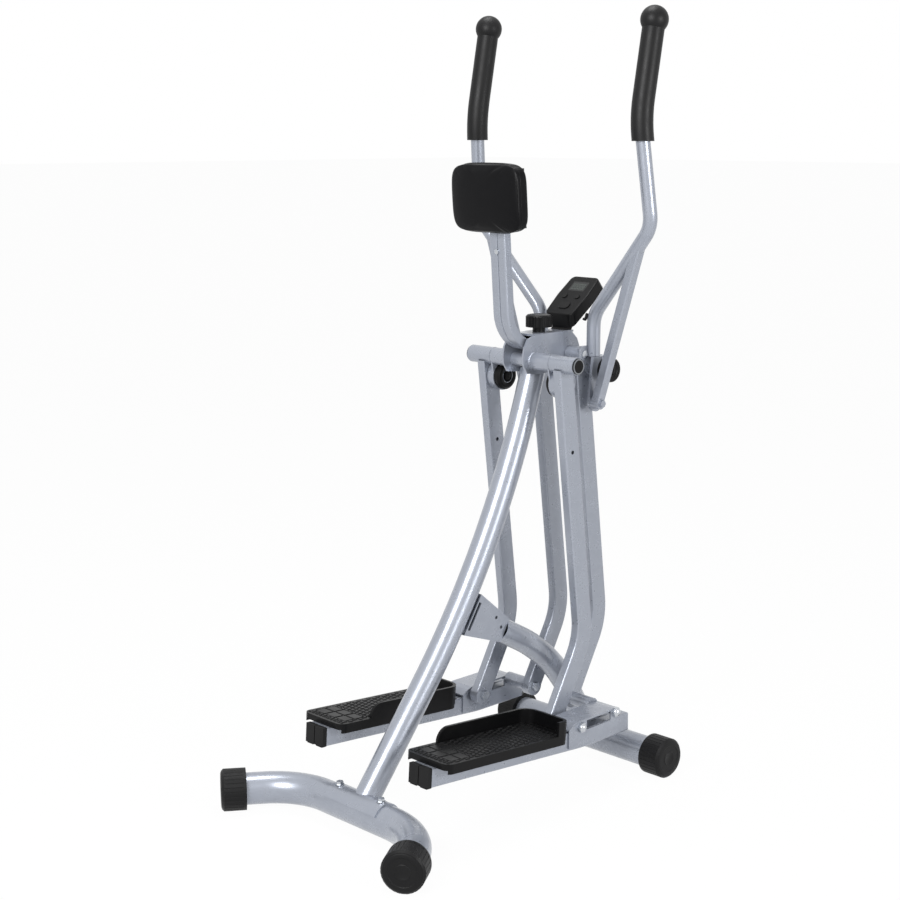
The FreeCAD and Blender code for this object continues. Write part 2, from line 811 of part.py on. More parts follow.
def bumper_arm(side):
    """Build the fixed stub of the rear axle, the web that hangs from it and the bumper's drum."""
    name = f"{side_name(side)}_bumper_arm"
    x, z = pivot("rear")
    middle_x, middle_z = size("bumper_x"), size("bumper_z")
    inner = cheek_face() + size("snug_gap")
    stub_end = size("rear_sleeve_inner_y") - size("swing_gap")
    stub = cylinder(name + "_stub", "sizes.rear_sleeve", str(stub_end - inner), across_y(x, inner, z, side))
    web_start = stub_end - size("bumper_web")
    drum = cylinder(name + "_drum", "sizes.bumper_drum", f"sizes.bumper_drum_end_y - {web_start}",
                    across_y(middle_x, web_start, middle_z, side))
    hollow = cylinder(name + "_hollow", "sizes.bumper_drum - 2 * sizes.bumper_drum_wall",
                      "sizes.bumper_drum_end_y", across_y(middle_x, stub_end, middle_z, side))
    room = cylinder(name + "_room", "sizes.rear_sleeve + 4 * sizes.swing_gap", "sizes.bumper_drum_end_y",
                    across_y(x, stub_end, z, side))
    web = new_body(name + "_web")
    sketch = new_sketch(web, "outline")
    run = Vector(middle_x - x, 0, middle_z - z).normalize()
    stub_half = run.cross(Vector(0, 1, 0)) * (0.45 * size("rear_sleeve"))
    drum_half = run.cross(Vector(0, 1, 0)) * (0.45 * size("bumper_drum"))
    add_outline(sketch, [(x - stub_half.x, z - stub_half.z), (x + stub_half.x, z + stub_half.z),
                         (middle_x + drum_half.x, middle_z + drum_half.z),
                         (middle_x - drum_half.x, middle_z - drum_half.z)])
    pad(web, sketch, "sizes.bumper_web")
    web.Placement.Base = Vector(0, side * (web_start + size("bumper_web") / 2), 0)
    hole = cylinder(name + "_hole", "sizes.axle_diameter + 2 * sizes.snug_gap", "2 * sizes.rear_sleeve_outer_y",
                    across_y(x, 0, z, side))
    thread = cylinder(name + "_thread", "sizes.saddle_bolt", "sizes.rear_sleeve_outer_y",
                      across_y(middle_x, 0, middle_z, side))
    keep(cut(name, fuse(name + "_weld", stub, drum, web), fuse(name + "_holes", hollow, room, hole, thread)), name)


def bumper(side):
    """Build the round rubber bumper on the inner face of its arm, with its sunk screw hole."""
    radius = size("bumper_diameter") / 2
    edge = size("disc_rounding")
    hole = size("bumper_hole") / 2
    length = size("bumper_length")
    face = size("rear_sleeve_inner_y") - size("swing_gap") - size("bumper_web") - size("snug_gap")
    outline = [(0, 0), (radius, 0), (radius, length - edge), (radius - edge, length),
               (hole + edge / 2, length), (hole, length - edge / 2), (hole, length / 2), (0, length / 2)]
    place = Placement(Vector(size("bumper_x"), side * face, size("bumper_z")),
                      Rotation(Vector(1, 0, 0), 90 * side))
    keep(turned(f"{side_name(side)}_bumper", outline, place), f"{side_name(side)}_bumper")


def link_route(which):
    """Return the route of a link from just under its axle to its foot pivot, in XZ."""
    x, z = pivot(which)
    corner = (x + size("link_bend_dx"), z + size("link_bend_dz"))
    drop = size("link_top_drop")
    lean = size("link_bend_dx") / -size("link_bend_dz")
    return [(x + drop * lean, z - drop), corner, pivot(which, "foot")]


def link_body(name, which):
    """Build a bent link of rectangular tube with a rounded foot end."""
    body = box_tube(name, link_route(which), [size("link_bend")], "link_width", "link_depth", "link_wall",
                    "link_corner")
    foot = new_sketch(body, "foot_end")
    add_circle(foot, pivot(which, "foot"), "sizes.link_depth")
    pad(body, foot, "sizes.link_width")
    return body


def rear_link(side):
    """Build a rear link with its sleeve on the rear axle."""
    name = f"{side_name(side)}_rear_link"
    body = link_body(name, "rear")
    sleeve = new_sketch(body, "sleeve")
    add_circle(sleeve, pivot("rear"), "sizes.rear_sleeve")
    pad(body, sleeve, "sizes.rear_link_y - sizes.rear_sleeve_inner_y",
        "sizes.rear_sleeve_outer_y - sizes.rear_link_y", side)
    bore(body, "sleeve_bore", pivot("rear"), "sizes.bush_diameter + 2 * sizes.snug_gap",
         "4 * sizes.rear_sleeve_outer_y")
    bore(body, "foot_bore", pivot("rear", "foot"), "sizes.pivot_bolt + 2 * sizes.running_gap",
         "2 * sizes.link_width")
    x, z = pivot("rear")
    drop = size("link_hole_drop")
    lean = size("link_bend_dx") / -size("link_bend_dz")
    bore(body, "side_hole", (x + drop * lean, z - drop), "sizes.link_hole", "2 * sizes.link_width")
    body.Placement.Base = Vector(0, side * size("rear_link_y"), 0)
    keep(body, name)


def rear_bushes(side):
    """Build the two plastic bushes in a rear sleeve."""
    x, z = pivot("rear")
    bushes = []
    plug_room = size("plug_length")
    starts = (size("rear_sleeve_inner_y"), size("rear_sleeve_outer_y") - plug_room - size("bush_length"))
    for number, start in enumerate(starts):
        tag = f"{side_name(side)}_bush_{number}"
        place = across_y(x, start, z, side)
        outer = cylinder(tag + "_outer", "sizes.bush_diameter", "sizes.bush_length", place)
        hole = cylinder(tag + "_hole", "sizes.axle_diameter + 2 * sizes.running_gap", "sizes.bush_length", place)
        bushes.append(cut(tag, outer, hole))
    keep(group(f"{side_name(side)}_bush_pair", bushes), f"{side_name(side)}_rear_bushes")


def sleeve_plug(side):
    """Build the round plug that closes the outer end of a rear sleeve."""
    x, z = pivot("rear")
    name = f"{side_name(side)}_sleeve_plug"
    end = size("rear_sleeve_outer_y")
    depth = size("plug_length") - size("swing_gap") - size("snug_gap")
    body = cylinder(name + "_body", "sizes.bush_diameter", str(depth), across_y(x, end - depth, z, side))
    head = cylinder(name + "_head", "sizes.rear_sleeve - 3", "2.5", across_y(x, end + size("snug_gap"), z, side))
    neck = cylinder(name + "_neck", "sizes.bush_diameter", "2 * sizes.snug_gap",
                    across_y(x, end - size("snug_gap") / 2, z, side))
    keep(fuse(name, body, neck, head), name)


def front_link(side):
    """Build a front link with its sleeve on the front axle and the long boss of its foot pivot."""
    name = f"{side_name(side)}_front_link"
    body = link_body(name, "front")
    sleeve = new_sketch(body, "sleeve")
    add_circle(sleeve, pivot("front"), "sizes.front_sleeve")
    inner = cheek_face() + size("swing_gap")
    pad(body, sleeve, f"sizes.front_link_y - {inner}",
        "sizes.front_sleeve_outer_y - sizes.front_link_y", side)
    boss = new_sketch(body, "boss")
    add_circle(boss, pivot("front", "foot"), "sizes.front_boss")
    reach = "sizes.bar_middle_y - sizes.bar_width - sizes.channel_wall - sizes.bar_gap / 2"
    pad(body, boss, "1", f"{reach} - 2 * sizes.swing_gap - sizes.front_link_y", side)
    bore(body, "sleeve_bore", pivot("front"), "sizes.axle_diameter + 2 * sizes.running_gap",
         "4 * sizes.front_link_y")
    bore(body, "foot_bore", pivot("front", "foot"), "sizes.pivot_bolt + 2 * sizes.open_pivot_gap",
         "4 * sizes.bar_middle_y")
    body.Placement.Base = Vector(0, side * size("front_link_y"), 0)
    keep(body, name)


def lever_face():
    """Return the distance of the lever's inner face from the middle plane."""
    return size("front_sleeve_outer_y") + size("snug_gap")


def handle_lever(side):
    """Build the lever beside a front link: its plate, the drum under the handle, and the brace's ear."""
    name = f"{side_name(side)}_handle_lever"
    x, z = pivot("front")
    drum_x, drum_z = size("lever_drum_x"), size("lever_drum_z")
    drum_radius = size("lever_drum") / 2
    top = size("handle_foot_z") - 6 * size("snug_gap")
    body = new_body(name)
    plate = new_sketch(body, "plate")
    handle_rear = size("handle_foot_x") - size("handle_tube") / 2 - 1
    add_outline(plate, [(x - 16, z - 12), (x - 16, z + 12), (x - 8, z + 17), (handle_rear, z + 17),
                        (handle_rear, top), (drum_x, top), (drum_x, drum_z - drum_radius),
                        (drum_x - drum_radius * 0.8, drum_z - drum_radius * 0.6)])
    pad(body, plate, "0.01", "sizes.lever_plate", side)
    drum = new_sketch(body, "drum")
    add_circle(drum, (drum_x, drum_z), "sizes.lever_drum")
    pad(body, drum, "0.01", "sizes.lever_drum_length", side)
    ear_x, ear_z = size("lever_ear_x"), size("lever_ear_z")
    radius = size("lever_ear") / 2
    out = Placement(Vector(0, 0, -side * (size("lever_drum_length") - size("lever_plate"))), Rotation())
    tail = new_sketch(body, "tail", offset=out)
    add_outline(tail, [(handle_rear, top), (ear_x - radius, ear_z), (ear_x + radius, ear_z),
                       (drum_x, drum_z - drum_radius / 2), (drum_x, top)])
    pad(body, tail, "0.01", "sizes.lever_plate", side)
    ear = new_sketch(body, "ear", offset=out)
    add_circle(ear, (ear_x, ear_z), "sizes.lever_ear")
    pad(body, ear, "0.01", "sizes.lever_plate", side)
    bore(body, "axle_bore", (x, z), "sizes.axle_diameter + 2 * sizes.running_gap", "4 * sizes.lever_plate")
    body.Placement.Base = Vector(0, side * (lever_face() + 0.01), 0)
    keep(body, name)


def lever_disc(side):
    """Build the black disc on the outer face of a lever's drum."""
    radius = size("lever_disc") / 2
    edge = size("disc_rounding")
    length = size("lever_disc_length")
    face = lever_face() + size("lever_drum_length") + 0.01 + size("snug_gap")
    outline = [(0, 0), (radius, 0), (radius, length - edge), (radius - edge, length),
               (0.4 * radius, length), (0.32 * radius, length - edge / 2), (0, length - edge / 2)]
    place = across_y(size("lever_drum_x"), face, size("lever_drum_z"), side)
    keep(turned(f"{side_name(side)}_lever_disc", outline, place), f"{side_name(side)}_lever_disc")


def handle_points(side):
    """Return the corners of a handle's route from its foot to the ball."""
    return [(size("handle_foot_x"), side * size("handle_y"), size("handle_foot_z")),
            (size("handle_foot_x"), side * size("handle_y"), size("handle_bend_z")),
            (size("handle_knee_x"), side * size("handle_knee_y"), size("handle_knee_z")),
            (size("grip_foot_x"), side * size("grip_y"), size("grip_corner_z")),
            (size("grip_top_x"), side * size("grip_y"), size("grip_top_z"))]


def handle_path(side):
    """Make the handle's route as a wire of straight runs and arcs."""
    radii = [size("handle_bend"), size("handle_bend"), size("grip_bend")]
    path = doc.addObject("Part::Feature", f"{side_name(side)}_handle_route")
    path.Shape = Part.Wire([edge.toShape() for edge in rounded(handle_points(side), radii)])
    return path


def swept_rod(name, path, diameter, points):
    """Sweep a disc along the handle's route."""
    disc = doc.addObject("Part::Circle", name + "_disc")
    disc.setExpression("Radius", f"({diameter}) / 2")
    disc.Placement = along(points[0], points[1])
    rod = doc.addObject("Part::Sweep", name)
    rod.Sections = [disc]
    rod.Spine = (path, [f"Edge{n + 1}" for n in range(len(path.Shape.Edges))])
    rod.Solid = True
    rod.Frenet = False
    return rod


def slab(name, low_z, high_z):
    """Make a wide box between two heights, to keep one stretch of a handle."""
    box = doc.addObject("Part::Box", name)
    reach = 2 * size("rear_foot_y")
    box.Length = box.Width = 2 * reach
    box.Height = high_z - low_z
    box.Placement.Base = Vector(-reach, -reach, low_z)
    return box


def handle(side):
    """Build a handle tube, its foam grip with a ball end, and its brace."""
    name = side_name(side)
    points = handle_points(side)
    path = handle_path(side)
    outer = swept_rod(f"{name}_handle_outer", path, "sizes.handle_tube", points)
    inner = swept_rod(f"{name}_handle_inner", path, "sizes.handle_tube - 2 * sizes.handle_wall", points)
    x, z = pivot("front")
    sleeve = cylinder(f"{name}_handle_cope", "sizes.front_sleeve + 2 * sizes.snug_gap",
                      "sizes.front_sleeve_outer_y + sizes.snug_gap", across_y(x, 0, z, side))
    tube = cut(f"{name}_handle", outer, fuse(f"{name}_handle_bore", inner, sleeve))
    keep(tube, f"{name}_handle")
    core = swept_rod(f"{name}_grip_core", path, "sizes.handle_tube + 2 * sizes.snug_gap", points)
    foam = swept_rod(f"{name}_grip_foam", path, "sizes.grip_diameter", points)
    upper = doc.addObject("Part::Common", f"{name}_grip_stretch")
    upper.Base = foam
    upper.Tool = slab(f"{name}_grip_slab", size("grip_foot_z"), 2 * size("grip_top_z"))
    ball = doc.addObject("Part::Sphere", f"{name}_ball")
    ball.setExpression("Radius", "sizes.ball_diameter / 2")
    ball.Placement.Base = Vector(*points[-1]) + Vector(0, 0, size("snug_gap"))
    keep(cut(f"{name}_grip", fuse(f"{name}_grip_skin", upper, ball), core), f"{name}_grip")
    brace(side, points, path)


def brace(side, points, path):
    """Build the square brace from the lever's ear up to the handle."""
    name = f"{side_name(side)}_brace"
    knee_run = (size("brace_top_z") - points[1][2]) / (points[2][2] - points[1][2])
    top = Vector(*points[1]) + (Vector(*points[2]) - Vector(*points[1])) * knee_run
    foot = Vector(size("brace_foot_x"), side * size("brace_foot_y"), size("brace_foot_z"))
    body = new_body(name + "_tube")
    section = new_sketch(body, "section", "XY_Plane")
    add_rounded_box(section, "brace_tube", "brace_tube", "link_corner")
    add_rounded_box(section, "brace_tube", "brace_tube", "link_corner", "brace_wall")
    length = body.newObject("PartDesign::Pad", "run")
    length.Profile = section
    length.Length = (top - foot).Length
    body.Placement = along(foot, top, Vector(1, 0, 0))
    start = lever_face() + size("lever_drum_length") + 0.01 + size("snug_gap")
    reach = size("brace_foot_y") + size("brace_tube") / 2 - start
    boss = cylinder(name + "_boss", "sizes.brace_boss", str(reach), across_y(foot.x, start, foot.z, side))
    head = hexagon(name + "_bolt_head", "sizes.bolt_head * 0.7", "sizes.bolt_head_length",
                   across_y(foot.x, start + reach, foot.z, side))
    tool = swept_rod(name + "_cope", path, "sizes.handle_tube + 2 * sizes.snug_gap", points)
    keep(cut(name, fuse(name + "_weld", body, boss, head), tool), name)


def bar_route():
    """Return the route of the foot bars' middle line, in XZ."""
    return [(size("bar_rear_x"), size("bar_rear_z")), (size("bar_bend_x"), size("bar_bend_z")),
            (size("bar_front_x"), size("bar_front_z"))]


def bar_slope():
    """Return the placement of the bars' rear end, its X axis along the bars."""
    rear, bend = bar_route()[:2]
    drop = math.degrees(math.atan2(rear[1] - bend[1], bend[0] - rear[0]))
    return Placement(Vector(rear[0], 0, rear[1]), Rotation(Vector(0, 1, 0), drop))


def bar_offsets(side):
    """Return Y of the inner and the outer bar of a side."""
    half = (size("bar_width") + size("bar_gap")) / 2
    return [side * (size("bar_middle_y") + shift) for shift in (-half, half)]


def foot_bars(side):
    """Build the two bars of a foot and the plugs in their rear ends."""
    name = side_name(side)
    bars, plugs = [], []
    slope = bar_slope()
    for number, y in enumerate(bar_offsets(side)):
        bar = box_tube(f"{name}_bar_{number}", bar_route(), [size("bar_bend")], "bar_width",
                       "bar_height", "bar_wall", "bar_corner")
        bar.Placement.Base = Vector(0, y, 0)
        bars.append(bar)
        shift = size("plug_length") + size("snug_gap")
        head = doc.addObject("Part::Box", f"{name}_plug_{number}_head")
        head.setExpression("Length", "sizes.plug_length")
        head.setExpression("Width", "sizes.bar_width")
        head.setExpression("Height", "sizes.bar_height")
        corner = Vector(-shift, -size("bar_width") / 2, -size("bar_height") / 2)
        head.Placement = Placement(slope.Base + Vector(0, y, 0) + slope.Rotation.multVec(corner),
                                   slope.Rotation)
        foot = doc.addObject("Part::Box", f"{name}_plug_{number}_foot")
        foot.setExpression("Length", "sizes.plug_length * 0.8")
        foot.setExpression("Width", "sizes.bar_width * 0.7")
        foot.setExpression("Height", "sizes.plug_foot")
        corner = Vector(-0.9 * shift, -0.35 * size("bar_width"), -size("bar_height") / 2 - size("plug_foot") / 2)
        foot.Placement = Placement(slope.Base + Vector(0, y, 0) + slope.Rotation.multVec(corner),
                                   slope.Rotation)
        plugs.append(fuse(f"{name}_plug_{number}", head, foot))
    keep(group(f"{name}_bar_pair", bars), f"{name}_foot_bars")
    keep(group(f"{name}_plug_pair", plugs), f"{name}_bar_plugs")


def channel(side):
    """Build the channel over the bars that holds both foot pivots, with a window in each side."""
    name = f"{side_name(side)}_channel"
    body = new_body(name)
    rear_x, rear_z = pivot("rear", "foot")
    front_x, front_z = pivot("front", "foot")
    rise = size("channel_height")
    start, end = size("channel_rear_x"), size("channel_front_x")
    wall = size("channel_wall")
    low = size("bar_bend_z")
    outline = new_sketch(body, "outline")
    add_outline(outline, [(start, low - 10), (start, rear_z), (start + 14, rear_z + rise - 6),
                          (start + 26, rear_z + rise - 2), (end - 16, front_z + rise - 8),
                          (end, front_z + rise / 3), (end, low + 4), (front_x - 16, low),
                          (rear_x + 18, low - 10)])
    pad(body, outline, "2 * (sizes.bar_width + sizes.channel_wall + 2 * sizes.snug_gap) + sizes.bar_gap")
    hollow = new_sketch(body, "hollow")
    add_outline(hollow, [(start - 10, low - 40), (start - 10, rear_z - wall), (start, rear_z - wall),
                         (start + 14, rear_z + rise - 6 - wall), (start + 26, rear_z + rise - 2 - wall),
                         (end - 16, front_z + rise - 8 - wall), (end + 10, front_z + rise - 8 - 3 * wall),
                         (end + 10, low - 40)])
    pocket(body, hollow, "2 * (sizes.bar_width + 2 * sizes.snug_gap) + sizes.bar_gap")
    window = new_sketch(body, "window")
    top = rear_z + size("channel_slot_height") / 2
    add_outline(window, [(size("channel_slot_rear_x"), top - size("channel_slot_height")),
                         (size("channel_slot_front_x"), top - size("channel_slot_height") + 2),
                         (size("channel_slot_front_x"), top + 2), (size("channel_slot_rear_x"), top)])
    pocket(body, window, "4 * sizes.bar_width")
    holes = new_sketch(body, "pivot_holes")
    for which in ("rear", "front"):
        add_circle(holes, pivot(which, "foot"), "sizes.pivot_bolt + 2 * sizes.snug_gap")
    pocket(body, holes, "4 * sizes.bar_width")
    body.Placement.Base = Vector(0, side * size("bar_middle_y"), 0)
    keep(body, name)


def pivot_bolts(side):
    """Build the two long bolts of a foot's pivots, with a hex head inside and a domed nut outside."""
    name = side_name(side)
    gap = size("snug_gap")
    outer = (size("bar_middle_y") + size("bar_width") + size("bar_gap") / 2 + size("channel_wall") + 3 * gap)
    inner = {"rear": size("rear_link_y") - size("link_width") / 2 - size("swing_gap"),
             "front": size("front_link_y") - size("link_width") / 2 - size("swing_gap")}
    bolts = []
    for which, start in inner.items():
        x, z = pivot(which, "foot")
        tag = f"{name}_{which}_bolt"
        head = hexagon(tag + "_head", "sizes.bolt_head", "sizes.bolt_head_length",
                       across_y(x, start - size("bolt_head_length"), z, side))
        shank = cylinder(tag + "_shank", "sizes.pivot_bolt", str(outer - start + 2), across_y(x, start - 1, z, side))
        nut = hexagon(tag + "_nut", "sizes.bolt_head", "sizes.bolt_head_length",
                      across_y(x, outer, z, side))
        dome = doc.addObject("Part::Sphere", tag + "_dome")
        dome.setExpression("Radius", "sizes.bolt_head * 0.44")
        dome.Angle1 = 0
        dome.Placement = across_y(x, outer + size("bolt_head_length") * 0.5, z, side)
        bolts.append(fuse(tag, head, shank, nut, dome))
    keep(group(f"{name}_bolt_pair", bolts), f"{name}_pivot_bolts")


def pedal(side):
    """Build a pedal: a plate with rounded corners, an inner rim and a toe wall."""
    name = f"{side_name(side)}_pedal"
    body = new_body(name)
    length, half = size("pedal_length"), size("pedal_width") / 2
    corner = size("pedal_corner")
    heel = corner / 2
    wall = size("pedal_rim_wall")
    base = new_sketch(body, "base", "XY_Plane")

    def add_chain(sketch, points, radii):
        """Draw a closed outline with rounded corners, starting halfway along its last side."""
        middle = [(points[-1][0] + points[0][0]) / 2, (points[-1][1] + points[0][1]) / 2]
        loop = [middle] + [list(p) for p in points] + [middle]
        for edge in rounded([(*p, 0) for p in loop], radii):
            sketch.addGeometry(edge, False)

    inner = -side
    add_chain(base, [(0, -half), (length, -half), (length, half), (0, half)],
              [heel, corner if inner < 0 else heel, corner if inner > 0 else heel, heel])
    plate = body.newObject("PartDesign::Pad", "plate")
    plate.Profile = base
    plate.setExpression("Length", "sizes.pedal_thickness")
    rim = new_sketch(body, "rim", "XY_Plane")
    start = size("pedal_rim_start")
    back = length - size("pedal_toe_return")
    add_chain(rim, [(start, inner * half), (length, inner * half), (length, -inner * half),
                    (back, -inner * half), (back, -inner * (half - wall)),
                    (length - wall, -inner * (half - wall)), (length - wall, inner * (half - wall)),
                    (start, inner * (half - wall))],
              [0.5, corner, heel, 0.5, 0.5, heel - wall, corner - wall, 0.5])
    rise = body.newObject("PartDesign::Pad", "rise")
    rise.Profile = rim
    rise.setExpression("Length", "sizes.pedal_thickness + sizes.pedal_rim_height")
    skirt = new_sketch(body, "skirt", "XY_Plane")
    add_chain(skirt, [(0, -half), (length, -half), (length, half), (0, half)],
              [heel, corner if inner < 0 else heel, corner if inner > 0 else heel, heel])
    drop = body.newObject("PartDesign::Pad", "drop")
    drop.Profile = skirt
    drop.Reversed = True
    drop.setExpression("Length", "sizes.pedal_skirt")
    between = half - size("pedal_skirt_wall")
    under = new_sketch(body, "under", "YZ_Plane")
    add_outline(under, [(-between, 0), (between, 0), (between, -2 * size("pedal_skirt")),
                        (-between, -2 * size("pedal_skirt"))])
    pocket(body, under, "3 * sizes.pedal_length")
    high = size("pedal_thickness") + size("pedal_rim_height")
    turn = size("pedal_rim_height")
    nick = turn * (1 - math.sqrt(0.5))
    beyond = 2 * high
    rear = new_sketch(body, "rear_end_of_rim")
    arc = Part.Arc(Vector(start, high - turn, 0), Vector(start + nick, high - nick, 0),
                   Vector(start + turn, high, 0))
    rear.addGeometry(arc, False)
    waste = [(start + turn, high), (start + turn, beyond), (start - turn, beyond),
             (start - turn, high - turn), (start, high - turn)]
    for here, there in zip(waste, waste[1:]):
        rear.addGeometry(Part.LineSegment(Vector(*here, 0), Vector(*there, 0)), False)
    pocket(body, rear, "2 * sizes.pedal_width")
    place = bar_slope()
    toe = size("pedal_toe_x") - size("bar_rear_x")
    lift = size("bar_height") / 2 + size("snug_gap")
    base_point = place.Rotation.multVec(Vector(toe - length, 0, lift))
    body.Placement = Placement(place.Base + base_point + Vector(0, side * size("bar_middle_y"), 0),
                               place.Rotation)
    keep(body, name)


def pad_post_x(z):
    """Return X of the leaning twin post's centre line at height z."""
    rise = z - size("pad_post_leg_z")
    return size("pad_post_low_x") - rise * math.tan(math.radians(size("pad_post_lean")))


def on_pad_post(z, out=0):
    """Return a placement on the twin post at height z: X towards the user, Z up along the post."""
    turn = Rotation(Vector(0, 1, 0), -size("pad_post_lean")) * Rotation(Vector(0, 0, 1), 180)
    return Placement(Vector(pad_post_x(z), 0, z) + turn.multVec(Vector(out, 0, 0)), turn)


def pad_posts():
    """Build the two square tubes side by side that carry the pad; their legs slide in the hub."""
    top_z = size("pad_post_top_z")
    points = [(pad_post_x(top_z), top_z), (size("pad_post_low_x"), size("pad_post_leg_z")),
              (size("pad_post_foot_x"), size("pad_post_leg_z"))]
    for side in (1, -1):
        name = f"{side_name(side)}_pad_post"
        post = box_tube(name, points, [size("pad_post_bend")], "pad_post_width",
                        "pad_post_depth", "pad_post_wall", "link_corner")
        post.Placement.Base = Vector(0, side * (size("pad_post_width") + size("pad_post_gap")) / 2, 0)
        keep(post, name)


def box(name, low, high):
    """Make a box between two opposite corners."""
    part = doc.addObject("Part::Box", name)
    part.Length, part.Width, part.Height = [top - bottom for bottom, top in zip(low, high)]
    part.Placement.Base = Vector(*low)
    return part


def post_liner():
    """Build the plastic block between the cheeks that guides the legs of the twin post."""
    rear, front = size("post_liner_rear_x"), size("post_liner_front_x")
    half = size("post_tube") / 2
    gap = size("running_gap")
    leg = size("pad_post_depth") / 2 + gap
    leg_half = size("pad_post_width") + size("pad_post_gap") / 2 + gap
    leg_z = size("pad_post_leg_z")
    block = box("post_liner_block", (rear, -half, leg_z - leg - size("post_liner_floor")),
                (front, half, size("top_plate_z") - size("snug_gap")))
    way = box("post_liner_way", (rear - leg, -leg_half, leg_z - leg), (front + leg, leg_half, leg_z + leg))
    hole = cylinder("post_liner_hole", "sizes.knob_thread + 2 * sizes.running_gap", "2 * sizes.pad_post_depth",
                    Placement(Vector(size("knob_x"), 0, leg_z), Rotation()))
    keep(cut("post_liner", block, fuse("post_liner_cuts", way, hole)), "post_liner")


def cushion_outline(x, grow, drawn_in):
    """Return a closed cushion outline in the plane at x, of eight arcs: sides bow in, corners out."""
    half_y = size("pad_width") / 2 + grow
    half_z = size("pad_height") / 2 + grow
    corner = size("pad_corner") + grow / 3
    nick = corner * (1 - math.sqrt(0.5))
    arcs = []
    sides = [((half_y, -half_z + corner), (half_y - drawn_in, 0), (half_y, half_z - corner)),
             ((half_y, half_z - corner), (half_y - nick, half_z - nick), (half_y - corner, half_z)),
             ((half_y - corner, half_z), (0, half_z - drawn_in), (-half_y + corner, half_z)),
             ((-half_y + corner, half_z), (-half_y + nick, half_z - nick), (-half_y, half_z - corner))]
    for turn in (1, -1):
        for points in sides:
            arcs.append(Part.Arc(*[Vector(x, turn * y, turn * z) for y, z in points]).toShape())
    return Part.Wire(arcs)


def pad_cushion():
    """Build the pad: a crowned cushion whose sides are drawn in, let over the board behind it."""
    place = on_pad_post(size("pad_middle_z"), size("pad_post_depth") / 2 + size("snug_gap"))
    thick = size("pad_backing_thickness")
    inset = size("pad_backing_inset")
    half_y = size("pad_width") / 2 - inset
    half_z = size("pad_height") / 2 - inset
    board = box("pad_board", (0, -half_y, -half_z), (thick, half_y, half_z))
    board.Placement = place * board.Placement
    keep(board, "pad_backing")
    thickness = size("pad_thickness")
    crown = size("pad_crown")
    drawn = size("pad_drawn_in")
    layers = ((0, -1.2 * crown, 0.4), (0.2, -0.2 * crown, 0.8), (0.5, 0, 1), (0.75, -0.5 * crown, 0.8),
              (0.93, -2.2 * crown, 0.4), (1, -6 * crown, 0.1))
    wires = [cushion_outline(share * thickness, grow, drawn * pull) for share, grow, pull in layers]
    swell = doc.addObject("Part::Feature", "pad_swell")
    swell.Shape = Part.makeLoft(wires, True, False)
    gap = 3 * size("snug_gap")
    seat = box("pad_seat", (-thick, -half_y - gap, -half_z - gap), (thick + gap, half_y + gap, half_z + gap))
    cushion = cut("pad_cushion", swell, seat)
    cushion.Placement = place
    keep(cushion, "pad")


def post_screw():
    """Build the round-headed screw in the seam of the twin post."""
    screw = doc.addObject("Part::Cylinder", "seam_screw")
    screw.setExpression("Radius", "sizes.post_screw / 2")
    screw.setExpression("Height", "sizes.post_screw * 0.3")
    place = on_pad_post(size("post_screw_z"), size("pad_post_depth") / 2 + size("snug_gap"))
    screw.Placement = place * Placement(Vector(), Rotation(Vector(0, 1, 0), 90))
    keep(screw, "post_screw")


def knob():
    """Build the fluted clamping knob with its stem and thread."""
    head = size("knob_diameter") / 2
    stem = size("knob_stem") / 2
    thread = size("knob_thread") / 2
    seat = size("top_plate_z") + size("top_plate_thickness") + size("running_gap")
    bottom, top = size("knob_bottom_z"), size("knob_top_z")
    edge = 0.06 * size("knob_diameter")
    body = turned("knob", [(0, size("knob_thread_low_z")), (thread, size("knob_thread_low_z")), (thread, seat),
                           (stem, seat), (stem, bottom), (head, bottom), (head, top - edge),
                           (head - edge, top), (0, top)], Placement(Vector(size("knob_x"), 0, 0), Rotation()))
    middle = (bottom + top) / 2
    sketch = new_sketch(body, "flute", "XY_Plane", Placement(Vector(0, 0, middle), Rotation()))
    add_circle(sketch, (head + size("knob_flute_diameter") / 4, 0), "sizes.knob_flute_diameter")
    flute = pocket(body, sketch, "2 * (sizes.knob_top_z - sizes.knob_bottom_z)")
    pattern = body.newObject("PartDesign::PolarPattern", "flutes")
    pattern.Originals = [flute]
    axis = next(f for f in body.Origin.OriginFeatures if f.Role == "Z_Axis")
    pattern.Axis = (axis, [""])
    pattern.Angle = 360
    pattern.setExpression("Occurrences", "sizes.knob_flutes")
    body.Tip = pattern
    keep(body, "knob")


def console_place():
    """Return the placement of the console's face: X up along it, Z out of it."""
    tilt = math.radians(size("console_tilt"))
    up = Vector(math.cos(tilt), 0, math.sin(tilt))
    out = Vector(-math.sin(tilt), 0, math.cos(tilt))
    return Placement(Vector(size("console_x"), 0, size("console_z")), Rotation(up, out.cross(up), out, "ZXY"))


def blind_pocket(body, sketch, depth):
    """Cut a sketch on the body's face down to a depth."""
    feature = body.newObject("PartDesign::Pocket", sketch.Name + "_cut")
    feature.Profile = sketch
    feature.Type = "Length"
    feature.setExpression("Length", depth)
    return feature


def round_face(body, feature, radius):
    """Round the edges of a feature that lie in the body's own XY plane."""
    doc.recompute()
    flat = 1e-6
    tops = [f"Edge{n + 1}" for n, edge in enumerate(feature.Shape.Edges)
            if abs(edge.BoundBox.ZMin) < flat and abs(edge.BoundBox.ZMax) < flat]
    fillet = body.newObject("PartDesign::Fillet", "edge_rounding")
    fillet.Base = (feature, tops)
    fillet.setExpression("Radius", radius)


